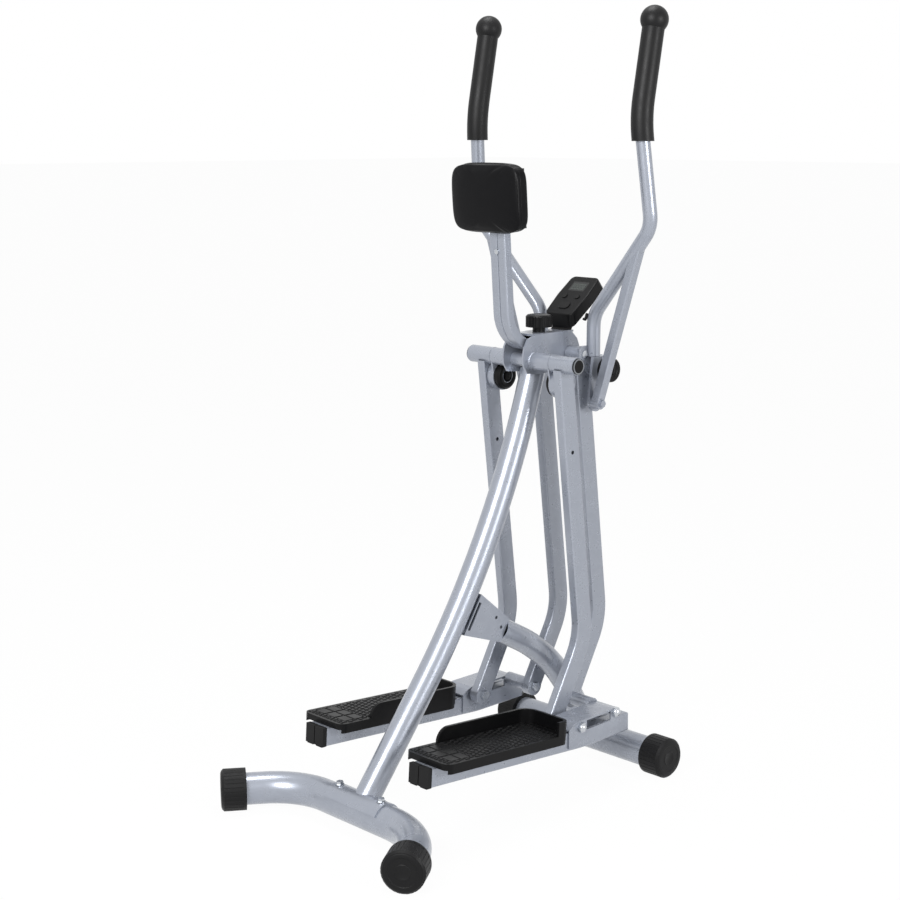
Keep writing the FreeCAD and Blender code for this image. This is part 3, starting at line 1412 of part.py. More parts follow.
def rounded_plate(name, length, width, corner, thickness, place):
    """Build a rounded plate under its own XY plane."""
    body = new_body(name)
    sketch = new_sketch(body, "outline", "XY_Plane")
    add_rounded_box(sketch, length, width, corner)
    block = body.newObject("PartDesign::Pad", "block")
    block.Profile = sketch
    block.Reversed = True
    block.setExpression("Length", thickness)
    body.Placement = place
    return body


def console_outline(low):
    """Return the console's closed outline: its lower end lies at `low`, its sides bow outwards."""
    top = size("console_length") / 2
    half = size("console_width") / 2
    bowed = half + size("console_bow")
    corner = size("console_corner")
    sides = size("console_bow_radius")
    points = [(low, 0), (low, half), (0, bowed), (top, half), (top, -half), (0, -bowed), (low, -half), (low, 0)]
    return rounded([(x, y, 0) for x, y in points], [corner, sides, corner, corner, sides, corner])


def console_housing(place):
    """Build the console's housing: its back reaches further down than its face does."""
    body = new_body("console_body")
    low = -size("console_length") / 2
    sections = []
    for name, end, depth in (("face", low, 0), ("back", low - size("console_heel"), -size("console_thickness"))):
        sketch = new_sketch(body, name, "XY_Plane", Placement(Vector(0, 0, depth), Rotation()))
        for line in console_outline(end):
            sketch.addGeometry(line, False)
        sections.append(sketch)
    loft = body.newObject("PartDesign::AdditiveLoft", "shell")
    loft.Profile = sections[0]
    loft.Sections = [sections[1]]
    loft.Ruled = True
    round_face(body, loft, "sizes.console_edge")
    body.Placement = place
    return body


def buttons():
    """Return name, middle, length, width and corner of each console button."""
    small = ("small_button", "small_button", "small_button_corner")
    y = size("small_button_y")
    up = size("small_button_up")
    return [("mode_button", (size("mode_button_up"), 0), "mode_button_length", "mode_button_width",
             "mode_button_corner"),
            ("set_button", (up, y), *small),
            ("reset_button", (up, -y), *small)]


def console():
    """Build the console housing with its window, three buttons and the foot that carries it."""
    place = console_place()
    body = console_housing(place)
    glass = new_sketch(body, "window_seat", "XY_Plane", Placement(Vector(size("console_window_up"), 0, 0), Rotation()))
    add_rounded_box(glass, "console_window_length", "console_window_width", "console_window_corner", "snug_gap", 1)
    blind_pocket(body, glass, "sizes.console_window_depth")
    for name, middle, length, width, corner in buttons():
        well = new_sketch(body, name + "_well", "XY_Plane", Placement(Vector(*middle, 0), Rotation()))
        add_rounded_box(well, length, width, corner, "button_gap", 1)
        blind_pocket(body, well, "sizes.button_depth")
    keep(body, "console_body")
    depth = place.multVec(Vector(size("console_window_up"), 0, -size("snug_gap")))
    window = rounded_plate("console_window", "console_window_length", "console_window_width", "console_window_corner",
                           "sizes.console_window_depth - 2 * sizes.snug_gap", Placement(depth, place.Rotation))
    keep(window, "console_window")
    for name, middle, length, width, corner in buttons():
        top = place.multVec(Vector(*middle, size("button_proud")))
        button = rounded_plate(name, length, width, corner,
                               "sizes.button_depth - sizes.button_gap", Placement(top, place.Rotation))
        keep(button, name)
    foot = new_body("console_bracket")
    sketch = new_sketch(foot, "outline")
    back = -size("console_thickness") - size("snug_gap")
    half = size("console_length") / 2
    high = place.multVec(Vector(-half / 2, 0, back))
    low = place.multVec(Vector(-half - size("console_heel") / 2, 0, back))
    seat = size("top_plate_z") + size("top_plate_thickness") + size("snug_gap")
    front = size("top_plate_front_x")
    add_outline(sketch, [(front - size("console_foot_length"), seat), (front, seat), (high.x, high.z), (low.x, low.z)])
    pad(foot, sketch, "sizes.console_foot_width")
    keep(foot, "console_bracket")


def build():
    """Build every sub-part."""
    floor_tubes()
    caps()
    saddle("rear_saddle", size("rear_tube_x"))
    saddle("front_saddle", size("front_tube_x"))
    saddle_bolts()
    main_post()
    support_tube()
    post_bracket()
    hub()
    for side in (1, -1):
        bumper_arm(side)
        bumper(side)
        rear_link(side)
        rear_bushes(side)
        sleeve_plug(side)
        front_link(side)
        handle_lever(side)
        lever_disc(side)
        handle(side)
        foot_bars(side)
        channel(side)
        pivot_bolts(side)
        pedal(side)
    pad_posts()
    post_liner()
    pad_cushion()
    post_screw()
    knob()
    console()


def check():
    """Stop if any object failed or any sub-part has no sound shape."""
    doc.recompute()
    for item in doc.Objects:
        if "Invalid" in item.State or "Error" in item.State:
            raise RuntimeError(f"{item.Name} failed: {item.State}")
    for part in SUBPARTS:
        if part.Shape.isNull() or not part.Shape.isValid():
            raise RuntimeError(f"{part.Label} has no sound shape")


def write():
    """Write each sub-part to its own STEP file."""
    os.makedirs("parts", exist_ok=True)
    for part in SUBPARTS:
        part.Shape.exportStep(f"parts/{part.Label}.step")
        print(f"{part.Label}: {len(part.Shape.Solids)} solid(s), {part.Shape.Volume / 1000:.1f} cm3")


build()
check()
write()
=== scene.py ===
"""Dresses the air walker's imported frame: finishes, treads, cushion, hardware, studio and camera."""

import json
import logging
import math
from dataclasses import dataclass, field
from enum import Enum

import bpy
import numpy as np
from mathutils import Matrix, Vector

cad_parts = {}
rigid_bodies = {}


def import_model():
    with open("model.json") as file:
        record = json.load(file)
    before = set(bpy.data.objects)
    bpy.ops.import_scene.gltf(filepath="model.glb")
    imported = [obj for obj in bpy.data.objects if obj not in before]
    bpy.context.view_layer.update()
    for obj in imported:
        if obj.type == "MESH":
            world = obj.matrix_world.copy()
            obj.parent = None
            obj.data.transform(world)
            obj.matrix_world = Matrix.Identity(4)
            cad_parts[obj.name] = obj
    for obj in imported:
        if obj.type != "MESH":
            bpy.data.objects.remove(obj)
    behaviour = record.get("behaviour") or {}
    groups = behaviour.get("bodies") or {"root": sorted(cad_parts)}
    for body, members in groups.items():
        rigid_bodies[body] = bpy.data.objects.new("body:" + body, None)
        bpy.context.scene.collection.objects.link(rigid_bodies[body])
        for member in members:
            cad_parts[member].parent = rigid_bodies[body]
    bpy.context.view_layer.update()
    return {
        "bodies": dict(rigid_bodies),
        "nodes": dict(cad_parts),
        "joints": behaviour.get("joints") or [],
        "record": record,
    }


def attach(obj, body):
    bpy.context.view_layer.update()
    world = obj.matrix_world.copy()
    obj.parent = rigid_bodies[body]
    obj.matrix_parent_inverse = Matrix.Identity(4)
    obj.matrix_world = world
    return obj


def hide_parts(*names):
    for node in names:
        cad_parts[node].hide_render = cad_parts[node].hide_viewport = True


LOG = logging.getLogger("air_walker")
MM = 0.001
SIDES = {"left": 1, "right": -1}
MERGED_APART = 1e-6
COLLAPSED_UNDER = 1e-7
SMOOTH_UNDER = math.radians(35)
Tree = bpy.types.NodeTree
Node = bpy.types.Node
Socket = bpy.types.NodeSocket
Piece = bpy.types.Object
Material = bpy.types.Material
Place = tuple[float, float, float]
Profile = list[tuple[float, float]]
Mesh = tuple[np.ndarray, np.ndarray]


def linear(hex_colour: str) -> tuple[float, float, float, float]:
    """Turn an sRGB hex value into the linear colour that a socket takes.

    Args:
        hex_colour: Six hex digits after a hash sign.

    Returns:
        Red, green, blue and alpha. A channel c is c / 12.92 below 0.04045, else ((c + 0.055) / 1.055) ** 2.4.
    """
    channels = [int(hex_colour[i:i + 2], 16) / 255 for i in (1, 3, 5)]
    return (*[c / 12.92 if c <= 0.04045 else ((c + 0.055) / 1.055) ** 2.4 for c in channels], 1.0)


def add_node(tree: Tree, kind: str, settings: dict | None = None, links: dict | None = None) -> Node:
    """Add a node with its settings and links.

    Args:
        tree: The node tree that takes the node.
        kind: The node's type, without the ShaderNode in front.
        settings: Values by socket name or number, or by property where no socket has that name.
        links: Sockets that feed this node's inputs, by input name or number.

    Returns:
        The new node.
    """
    node = tree.nodes.new("ShaderNode" + kind)
    for key, value in (settings or {}).items():
        if isinstance(key, str) and key not in node.inputs and hasattr(node, key):
            setattr(node, key, value)
        else:
            node.inputs[key].default_value = value
    for key, socket in (links or {}).items():
        tree.links.new(socket, node.inputs[key])
    return node


@dataclass(frozen=True)
class Finish:
    """A surface finish: what it is made of, how it shines, and the pattern that breaks it up."""

    name: str
    colour: str
    worn: str
    roughness: float
    metallic: float = 0.0
    ior: float = 1.5
    specular: float = 0.5
    coat: float = 0.0
    coat_roughness: float = 0.2
    grain_mm: float = 2.0
    depth_mm: float = 0.03
    mottle_mm: float = 60.0
    spread: float = 0.06

    def grain(self, tree: Tree, place: Socket) -> Socket:
        """Return the height of the fine pattern: here a soft noise of the grain's size."""
        return add_node(tree, "TexNoise", {"Scale": 1 / (self.grain_mm * MM), "Detail": 2.0,
                                           "Roughness": 0.5}, {"Vector": place}).outputs["Fac"]

    def build(self) -> Material:
        """Build the material.

        Returns:
            A material whose colour and roughness drift slowly over the piece, with the grain as bump.
        """
        material = bpy.data.materials.new(self.name)
        material.use_nodes = True
        tree = material.node_tree
        tree.nodes.clear()
        place = add_node(tree, "TexCoord").outputs["Object"]
        drift = add_node(tree, "TexNoise", {"Scale": 1 / (self.mottle_mm * MM), "Detail": 3.0,
                                            "Roughness": 0.55}, {"Vector": place}).outputs["Fac"]
        height = self.grain(tree, place)
        tint = add_node(tree, "Mix", {"data_type": "RGBA", 6: linear(self.colour), 7: linear(self.worn)},
                        {"Factor": drift})
        shine = add_node(tree, "MapRange",
                         {"From Min": 0.3, "From Max": 0.7, "To Min": max(0.02, self.roughness - self.spread),
                          "To Max": min(1.0, self.roughness + self.spread)}, {"Value": drift})
        bump = add_node(tree, "Bump", {"Strength": 1.0, "Distance": self.depth_mm * MM}, {"Height": height})
        shader = add_node(tree, "BsdfPrincipled",
                          {"Metallic": self.metallic, "Coat Weight": self.coat,
                           "Coat Roughness": self.coat_roughness},
                          {"Base Color": tint.outputs[2], "Roughness": shine.outputs["Result"],
                           "Normal": bump.outputs["Normal"]})
        if not self.metallic:
            shader.inputs["IOR"].default_value = self.ior
            shader.inputs["Specular IOR Level"].default_value = self.specular
        add_node(tree, "OutputMaterial", {}, {"Surface": shader.outputs["BSDF"]})
        return material


@dataclass(frozen=True)
class CellFinish(Finish):
    """A finish whose grain is rounded cells, as moulded leather grain and spark-eroded plastic have."""

    def grain(self, tree: Tree, place: Socket) -> Socket:
        """Return the height of the cells: the smoothed distance to each cell's middle."""
        return add_node(tree, "TexVoronoi", {"feature": "SMOOTH_F1", "Scale": 1 / (self.grain_mm * MM),
                                             "Smoothness": 0.6}, {"Vector": place}).outputs["Distance"]


class Slot(Enum):
    """The record's material slots, each with the finish that dresses it."""

    # Aluminium-flake powder coat, sprayed and baked: silver under a thin clear skin, with a faint orange peel
    # at 4 mm.
    SILVER = ("silver_paint", Finish("silver_powder_coat", "#9da2ac", "#9196a1", 0.3, 0.5, coat=0.3,
                                     coat_roughness=0.14, grain_mm=4.0, depth_mm=0.003, mottle_mm=22.0))
    # Bright zinc plate on steel bolts: metal with a faint cloudiness.
    ZINC = ("zinc", Finish("bright_zinc_plate", "#cdd0d4", "#babec4", 0.22, 1.0, grain_mm=1.5, depth_mm=0.02,
                           mottle_mm=8.0))
    # Moulded polypropylene caps: matt, with a spark-eroded grain drawn at 1.6 mm so that it shows.
    CAP = ("cap_plastic", CellFinish("moulded_polypropylene", "#0d0d0e", "#131314", 0.48, grain_mm=1.6,
                                     depth_mm=0.05, ior=1.49, specular=0.2))
    # Moulded ABS of the pedals, console and knob: satin black with soft highlights on its edges.
    PLASTIC = ("black_plastic", CellFinish("moulded_abs", "#0a0a0b", "#101011", 0.34, grain_mm=1.4,
                                           depth_mm=0.02, ior=1.54, specular=0.12))
    # Acrylic window over a liquid-crystal display: dark and glossy.
    WINDOW = ("display_window", Finish("acrylic_window", "#121415", "#0f1011", 0.12, coat=0.3,
                                       coat_roughness=0.05, grain_mm=30.0, depth_mm=0.005, ior=1.49,
                                       specular=0.3, spread=0.02))
    # Extruded nitrile foam: a smooth skin with a soft streak of gloss, and pores drawn at 1.8 mm.
    FOAM = ("foam_grip", Finish("nitrile_foam_skin", "#0b0b0c", "#111112", 0.46, grain_mm=1.8, depth_mm=0.06,
                                mottle_mm=25.0, specular=0.24))
    # Vinyl over foam: pressed leather grain of 2.4 mm, with a soft gleam.
    VINYL = ("vinyl_pad", CellFinish("grained_vinyl", "#08080a", "#0c0c0e", 0.34, grain_mm=2.4, depth_mm=0.04,
                                     mottle_mm=35.0, ior=1.52, specular=0.1))
    # Moulded rubber of the bumpers, discs and buttons.
    RUBBER = ("black_rubber", Finish("moulded_rubber", "#0a0a0a", "#0f0f0f", 0.36, grain_mm=1.5,
                                     depth_mm=0.03, mottle_mm=12.0, ior=1.52, specular=0.15))
    # Acetal bushes in the sleeves.
    BUSH = ("bush_plastic", Finish("acetal_bush", "#141415", "#191919", 0.4, grain_mm=2.0, depth_mm=0.02,
                                   specular=0.3))
    # Moulded board behind the pad: matt black.
    BOARD = ("pad_board", Finish("moulded_board", "#0c0c0d", "#111112", 0.55, grain_mm=1.5, depth_mm=0.03,
                                 specular=0.25))

    @property
    def slot(self) -> str:
        """Return the record's name for the slot."""
        return self.value[0]

    @property
    def material(self) -> Material:
        """Return the slot's material, built the first time that it is asked for."""
        return own_material(self.value[1])


# Polished chrome of the sleeve rings and bumper cups, and blackened steel of the disc cups: both ride on the
# zinc slot.
CHROME = Finish("polished_chrome", "#8c8f94", "#808388", 0.12, 1.0, grain_mm=10.0, depth_mm=0.002,
                spread=0.03)
BLACKENED = Finish("blackened_steel", "#232426", "#2b2c2e", 0.25, 1.0, grain_mm=4.0, depth_mm=0.005,
                   spread=0.04)
# Grey liquid-crystal film of the display, and the dark segments on it: they ride on the window's slot.
SCREEN = Finish("display_film", "#393e3c", "#3e4340", 0.22, grain_mm=20.0, depth_mm=0.002, spread=0.03,
                specular=0.4)
SEGMENT = Finish("display_segment", "#141616", "#181a1a", 0.30, grain_mm=20.0, depth_mm=0.002, specular=0.2)


def own_material(finish: Finish) -> Material:
    """Return a finish's material, built the first time that it is asked for."""
    return bpy.data.materials.get(finish.name) or finish.build()


def new_piece(name: str, points: np.ndarray, faces: np.ndarray, slot: Slot, body: str,
              material: Material | None = None) -> Piece:
    """Make a piece from arrays, dress it and let it ride on its body.

    Args:
        name: The piece's name.
        points: Vertices in the part's frame, in metres.
        faces: Quads as rows of vertex numbers.
        slot: The record's slot that it takes its finish from.
        body: The CAD body that it moves with.
        material: A finish of its own, where the slot's doesn't fit.

    Returns:
        The piece, at the origin, with outward faces and smooth shading.
    """
    mesh = bpy.data.meshes.new(name)
    mesh.from_pydata(points.tolist(), [], faces.tolist())
    mesh.update()
    piece = bpy.data.objects.new(name, mesh)
    bpy.context.scene.collection.objects.link(piece)
    tidy(piece)
    mesh.materials.append(material or slot.material)
    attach(piece, body)
    return piece


def tidy(piece: Piece) -> None:
    """Merge doubled vertices, drop collapsed faces, turn the faces outwards and shade them smooth.

    Args:
        piece: The piece whose mesh is tidied.
    """
    bpy.context.view_layer.objects.active = piece
    bpy.ops.object.select_all(action="DESELECT")
    piece.select_set(True)
    bpy.ops.object.mode_set(mode="EDIT")
    bpy.ops.mesh.select_all(action="SELECT")
    bpy.ops.mesh.remove_doubles(threshold=MERGED_APART)
    bpy.ops.mesh.dissolve_degenerate(threshold=COLLAPSED_UNDER)
    bpy.ops.mesh.select_all(action="SELECT")
    bpy.ops.mesh.normals_make_consistent(inside=False)
    bpy.ops.object.mode_set(mode="OBJECT")
    bpy.ops.object.shade_smooth_by_angle(angle=SMOOTH_UNDER)


def grid_faces(rows: int, columns: int, wrap_rows: bool = False, wrap_columns: bool = False) -> np.ndarray:
    """Number the quads of a grid of vertices: each joins (i, j), (i, j+1), (i+1, j+1) and (i+1, j).

    Args:
        rows: Vertices along the first parameter.
        columns: Vertices along the second parameter.
        wrap_rows: Whether the last row joins the first.
        wrap_columns: Whether the last column joins the first.

    Returns:
        One row of four vertex numbers for each quad.
    """
    i = np.arange(rows if wrap_rows else rows - 1)[:, None]
    j = np.arange(columns if wrap_columns else columns - 1)[None, :]
    down, right = (i + 1) % rows, (j + 1) % columns
    quads = [i * columns + j, i * columns + right, down * columns + right, down * columns + j]
    return np.stack(np.broadcast_arrays(*quads), axis=-1).reshape(-1, 4)


def frame_about(axis: Place) -> tuple[np.ndarray, np.ndarray, np.ndarray]:
    """Set up three unit vectors that stand square to each other.

    Args:
        axis: The direction of the first.

    Returns:
        The unit vector along the axis, and two that span the plane across it.
    """
    along = np.array(axis, float)
    along /= np.linalg.norm(along)
    guide = np.array([0.0, 0.0, 1.0]) if abs(along[2]) < 0.9 else np.array([1.0, 0.0, 0.0])
    first = np.cross(guide, along)
    first /= np.linalg.norm(first)
    return along, first, np.cross(along, first)


def turned(centre: Place, axis: Place, profile: Profile, steps: int = 72) -> Mesh:
    """Turn a profile about an axis: a point is centre + h axis + r (cos t first + sin t second).

    Args:
        centre: The point on the axis where the profile's height is nothing, in millimetres.
        axis: The direction of the profile's height.
        profile: Radius and height pairs in millimetres; where both ends have no radius, the form is closed.
        steps: Points around the axis.

    Returns:
        The vertices in metres and the quads.
    """
    along, first, second = frame_about(axis)
    radius, height = np.array(profile, float).T
    turn = np.linspace(0, 2 * np.pi, steps, endpoint=False)
    outward = np.cos(turn)[:, None] * first + np.sin(turn)[:, None] * second
    points = np.array(centre) + height[:, None, None] * along + radius[:, None, None] * outward
    return points.reshape(-1, 3) * MM, grid_faces(len(profile), steps, wrap_columns=True)


def bead_round(centre: Place, axis: Place, radius: float, thick: float, ripples: int, steps: int = 240,
               sides: int = 8) -> Mesh:
    """Lay a weld bead round a tube: a ring whose thickness swells a little with each ripple of the weld.

    Args:
        centre: The ring's middle, in millimetres.
        axis: The tube's axis.
        radius: The ring's radius, in millimetres.
        thick: The bead's radius, in millimetres.
        ripples: How many ripples the weld has.
        steps: Points along the ring.
        sides: Points around the bead.

    Returns:
        The vertices in metres and the quads. The bead's radius is thick (0.92 + 0.08 cos(ripples t)).
    """
    along, first, second = frame_about(axis)
    turn = np.linspace(0, 2 * np.pi, steps, endpoint=False)[:, None]
    around = np.linspace(0, 2 * np.pi, sides, endpoint=False)[None, :]
    swell = thick * (0.92 + 0.08 * np.cos(ripples * turn))
    reach = radius + swell * np.cos(around)
    outward = np.cos(turn)[..., None] * first + np.sin(turn)[..., None] * second
    points = np.array(centre) + reach[..., None] * outward + (swell * np.sin(around))[..., None] * along
    return points.reshape(-1, 3) * MM, grid_faces(steps, sides, True, True)


def on_side(place: Place, sign: int) -> Place:
    """Return a place of the left side, or its mirror image where the sign is -1."""
    return place[0], sign * place[1], place[2]


@dataclass
class FloorFrame:
    """The floor tubes' caps: the rings moulded into their faces.

    Sizes are in millimetres, and rear_angle, at which the rear caps point back from Y, in degrees.
    """

    front_x: float = 376.0
    front_y: float = 231.0
    rear_x: float = -396.6
    rear_y: float = 266.0
    rear_angle: float = 56.0
    height: float = 41.0
    rings: Profile = field(default_factory=lambda: [
        (0, 0.4), (11.5, 0.4), (12.5, 1.0), (14.5, 1.0), (15.5, 0.3), (27, 0.3), (28, 1.1), (34, 1.1),
        (35.8, 0.2), (35.8, -1.0), (0, -1.0)])

    def dress(self) -> None:
        """Set a face with raised rings on each of the four caps."""
        angle = math.radians(self.rear_angle)
        front, rear = (self.front_x, self.front_y, self.height), (self.rear_x, self.rear_y, self.height)
        ends = (("front", front, (0, 1, 0)), ("rear", rear, (-math.sin(angle), math.cos(angle), 0)))
        for side, sign in SIDES.items():
            for end, centre, axis in ends:
                face = turned(on_side(centre, sign), on_side(axis, sign), self.rings)
                new_piece(f"{side}_{end}_cap_face", *face, Slot.CAP, "frame")


@dataclass
class Hub:
    """The hardware at the hub: bumpers, lever discs, sleeve rings, welds, the knob's top and the cable clip.

    Sizes are in millimetres, and places are those of the left side, apart from the clip's, which is on the
    right. A weld has its middle, the tube's radius and the bead's; a pin of the clip its middle, radius and
    height.
    """

    bumper: Place = (195.0, 64.9, 827.0)
    disc: Place = (323.0, 104.2, 843.0)
    sleeve: Place = (175.0, 147.6, 868.0)
    collar: Place = (175.0, 82.2, 868.0)
    knob: Place = (217.0, 0.0, 955.0)
    lip: Profile = field(default_factory=lambda: [
        (14.6, -0.5), (14.6, 0.3), (15.6, 0.9), (22.0, 1.1), (23.6, 0.7), (24.2, 0.0), (24.2, -0.5),
        (14.6, -0.5)])
    cup: Profile = field(default_factory=lambda: [
        (12.6, -0.4), (12.6, 0.2), (13.0, 0.6), (13.6, 0.6), (14.2, 0.2), (14.2, -0.4), (12.6, -0.4)])
    socket: Profile = field(default_factory=lambda: [
        (0, 0.15), (3.2, 0.15), (3.7, 0.9), (7.4, 1.0), (8.2, 0.6), (8.4, -0.3), (0, -0.3)])
    ring: Profile = field(default_factory=lambda: [
        (12.4, -0.5), (12.4, 0.2), (13.0, 0.7), (14.8, 0.6), (15.6, -0.1), (15.6, -0.6), (12.4, -0.5)])
    band: Profile = field(default_factory=lambda: [
        (17.2, -0.9), (17.8, -0.8), (18.0, 0.0), (17.8, 0.8), (17.2, 0.9), (17.2, -0.9)])
    top: Profile = field(default_factory=lambda: [
        (0, -0.6), (17, -0.6), (18.5, 0.4), (20.5, 0.6), (22, -0.2), (22, -1.2), (0, -1.2)])
    stub: tuple[Place, float, float] = ((175.0, 30.2, 868.0), 17.5, 1.4)
    front_sleeve: tuple[Place, float, float] = ((277.0, 63.2, 876.0), 14.5, 1.1)
    drum: tuple[Place, float, float] = ((323.0, 70.9, 843.0), 28.0, 1.2)
    ripples_per_mm: float = 2.2
    clip_pin: tuple[Place, float, float] = ((290.5, -61.5, 951.0), 3.2, 13.0)
    clip_foot: tuple[Place, float, float] = ((288.0, -59.0, 945.0), 4.2, 5.0)
    clip_axis: Place = (0.2, -0.2, 1)
    clip_narrow: float = 0.7
    clip_bevel: float = 1.0

    def disc_face(self, name: str, centre: Place, outward: float, body: str, finish: Finish) -> None:
        """Set a rubber lip, a ring and a dark socket screw on the face of a disc.

        Args:
            name: What the pieces are called after.
            centre: The face's middle, in millimetres.
            outward: 1 where the face looks along +Y, -1 where it looks along -Y.
            body: The body that carries the disc.
            finish: The ring's finish.
        """
        axis = (0, outward, 0)
        new_piece(f"{name}_lip", *turned(centre, axis, self.lip), Slot.RUBBER, body)
        new_piece(f"{name}_ring", *turned(centre, axis, self.cup), Slot.ZINC, body, own_material(finish))
        new_piece(f"{name}_screw", *turned(centre, axis, self.socket, steps=48), Slot.PLASTIC, body)

    def welds(self, side: str, sign: int) -> None:
        """Lay the weld beads that join a side's round pieces to their plates.

        Args:
            side: The side's name.
            sign: 1 for the left side, -1 for the right.
        """
        link = f"{side}_front_link"
        for name, (place, radius, thick), body in (("stub_weld", self.stub, "frame"),
                                                   ("front_sleeve_weld", self.front_sleeve, link),
                                                   ("drum_weld", self.drum, link)):
            ripples = round(radius * self.ripples_per_mm)
            bead = bead_round(on_side(place, sign), (0, sign, 0), radius, thick, ripples)
            new_piece(f"{side}_{name}", *bead, Slot.SILVER, body)

    def clip(self) -> None:
        """Set the small cable clip on the right handle: two short pins with rounded ends."""
        for name, (place, radius, tall) in (("pin", self.clip_pin), ("foot", self.clip_foot)):
            end, tip = tall / 2, radius * self.clip_narrow
            full = end - self.clip_bevel
            profile = [(0, -end), (tip, -end), (radius, -full), (radius, full), (tip, end), (0, end)]
            new_piece(f"handle_clip_{name}", *turned(place, self.clip_axis, profile, steps=24), Slot.PLASTIC,
                      "right_front_link")

    def dress(self) -> None:
        """Dress the discs, the sleeves' ends, the welds, the knob's top and the clip on the right handle."""
        for side, sign in SIDES.items():
            rear, front = f"{side}_rear_link", f"{side}_front_link"
            self.disc_face(f"{side}_bumper_face", on_side(self.bumper, sign), -sign, "frame", CHROME)
            self.disc_face(f"{side}_lever_disc_face", on_side(self.disc, sign), sign, front, BLACKENED)
            new_piece(f"{side}_sleeve_ring", *turned(on_side(self.sleeve, sign), (0, sign, 0), self.ring),
                      Slot.ZINC, rear, own_material(CHROME))
            new_piece(f"{side}_sleeve_band", *turned(on_side(self.collar, sign), (0, sign, 0), self.band),
                      Slot.SILVER, rear)
            self.welds(side, sign)
        new_piece("knob_top", *turned(self.knob, (0, 0, 1), self.top), Slot.PLASTIC, "knob")
        self.clip()


@dataclass
class Display:
    """The console's display: a grey film and four seven-segment digits that all read nought.

    Sizes are in millimetres, on a face that rises forwards by tilt degrees from its middle.
    """

    middle: Place = (314.5, 0.0, 988.0)
    tilt: float = 39.5
    up: float = 25.0
    film: tuple[float, float] = (17.0, 33.0)
    digit: tuple[float, float] = (9.0, 4.6)
    pitch: float = 7.4
    stroke: float = 0.9
    film_lift: float = 0.05
    digit_lift: float = 0.09
    sunk: float = 0.06

    def plate(self, centre: tuple[float, float], spans: tuple[float, float], lift: float) -> np.ndarray:
        """Return the corners of a thin rectangular plate on the console's face.

        Args:
            centre: How far up the face and how far to the user's left its middle lies, in millimetres.
            spans: Its length up the face and its width across.
            lift: How far its top stands over the face.

        Returns:
            Four rings of four corners, in metres: from the top's middle over the rim to the bottom's middle.
        """
        tilt = math.radians(self.tilt)
        up = np.array([math.cos(tilt), 0.0, math.sin(tilt)])
        out = np.array([-math.sin(tilt), 0.0, math.cos(tilt)])
        across = np.array([0.0, 1.0, 0.0])
        rings = [np.array(self.middle) + (centre[0] + share * a * spans[0] / 2) * up
                 + (centre[1] + share * b * spans[1] / 2) * across + height * out
                 for share, height in ((0.0, lift), (1.0, lift), (1.0, -self.sunk), (0.0, -self.sunk))
                 for a, b in ((-1, -1), (1, -1), (1, 1), (-1, 1))]
        return np.array(rings) * MM

    def dress(self) -> None:
        """Lay the film and the digits' lit segments: all but the middle one of each."""
        quads = grid_faces(4, 4, wrap_columns=True)
        new_piece("display_film", self.plate((self.up, 0.0), self.film, self.film_lift), quads, Slot.WINDOW,
                  "frame", own_material(SCREEN))
        tall, wide = self.digit
        bars = [((sign * tall / 2, 0.0), (self.stroke, wide)) for sign in (1, -1)]
        bars += [((up * tall / 4, across * wide / 2), (tall / 2 - 1, self.stroke)) for up in (1, -1)
                 for across in (1, -1)]
        plates = [self.plate((self.up + up, (1.5 - number) * self.pitch + across), spans, self.digit_lift)
                  for number in range(4) for (up, across), spans in bars]
        faces = [quads + len(plates[0]) * number for number in range(len(plates))]
        new_piece("display_digits", np.concatenate(plates), np.concatenate(faces), Slot.WINDOW, "frame",
                  own_material(SEGMENT))


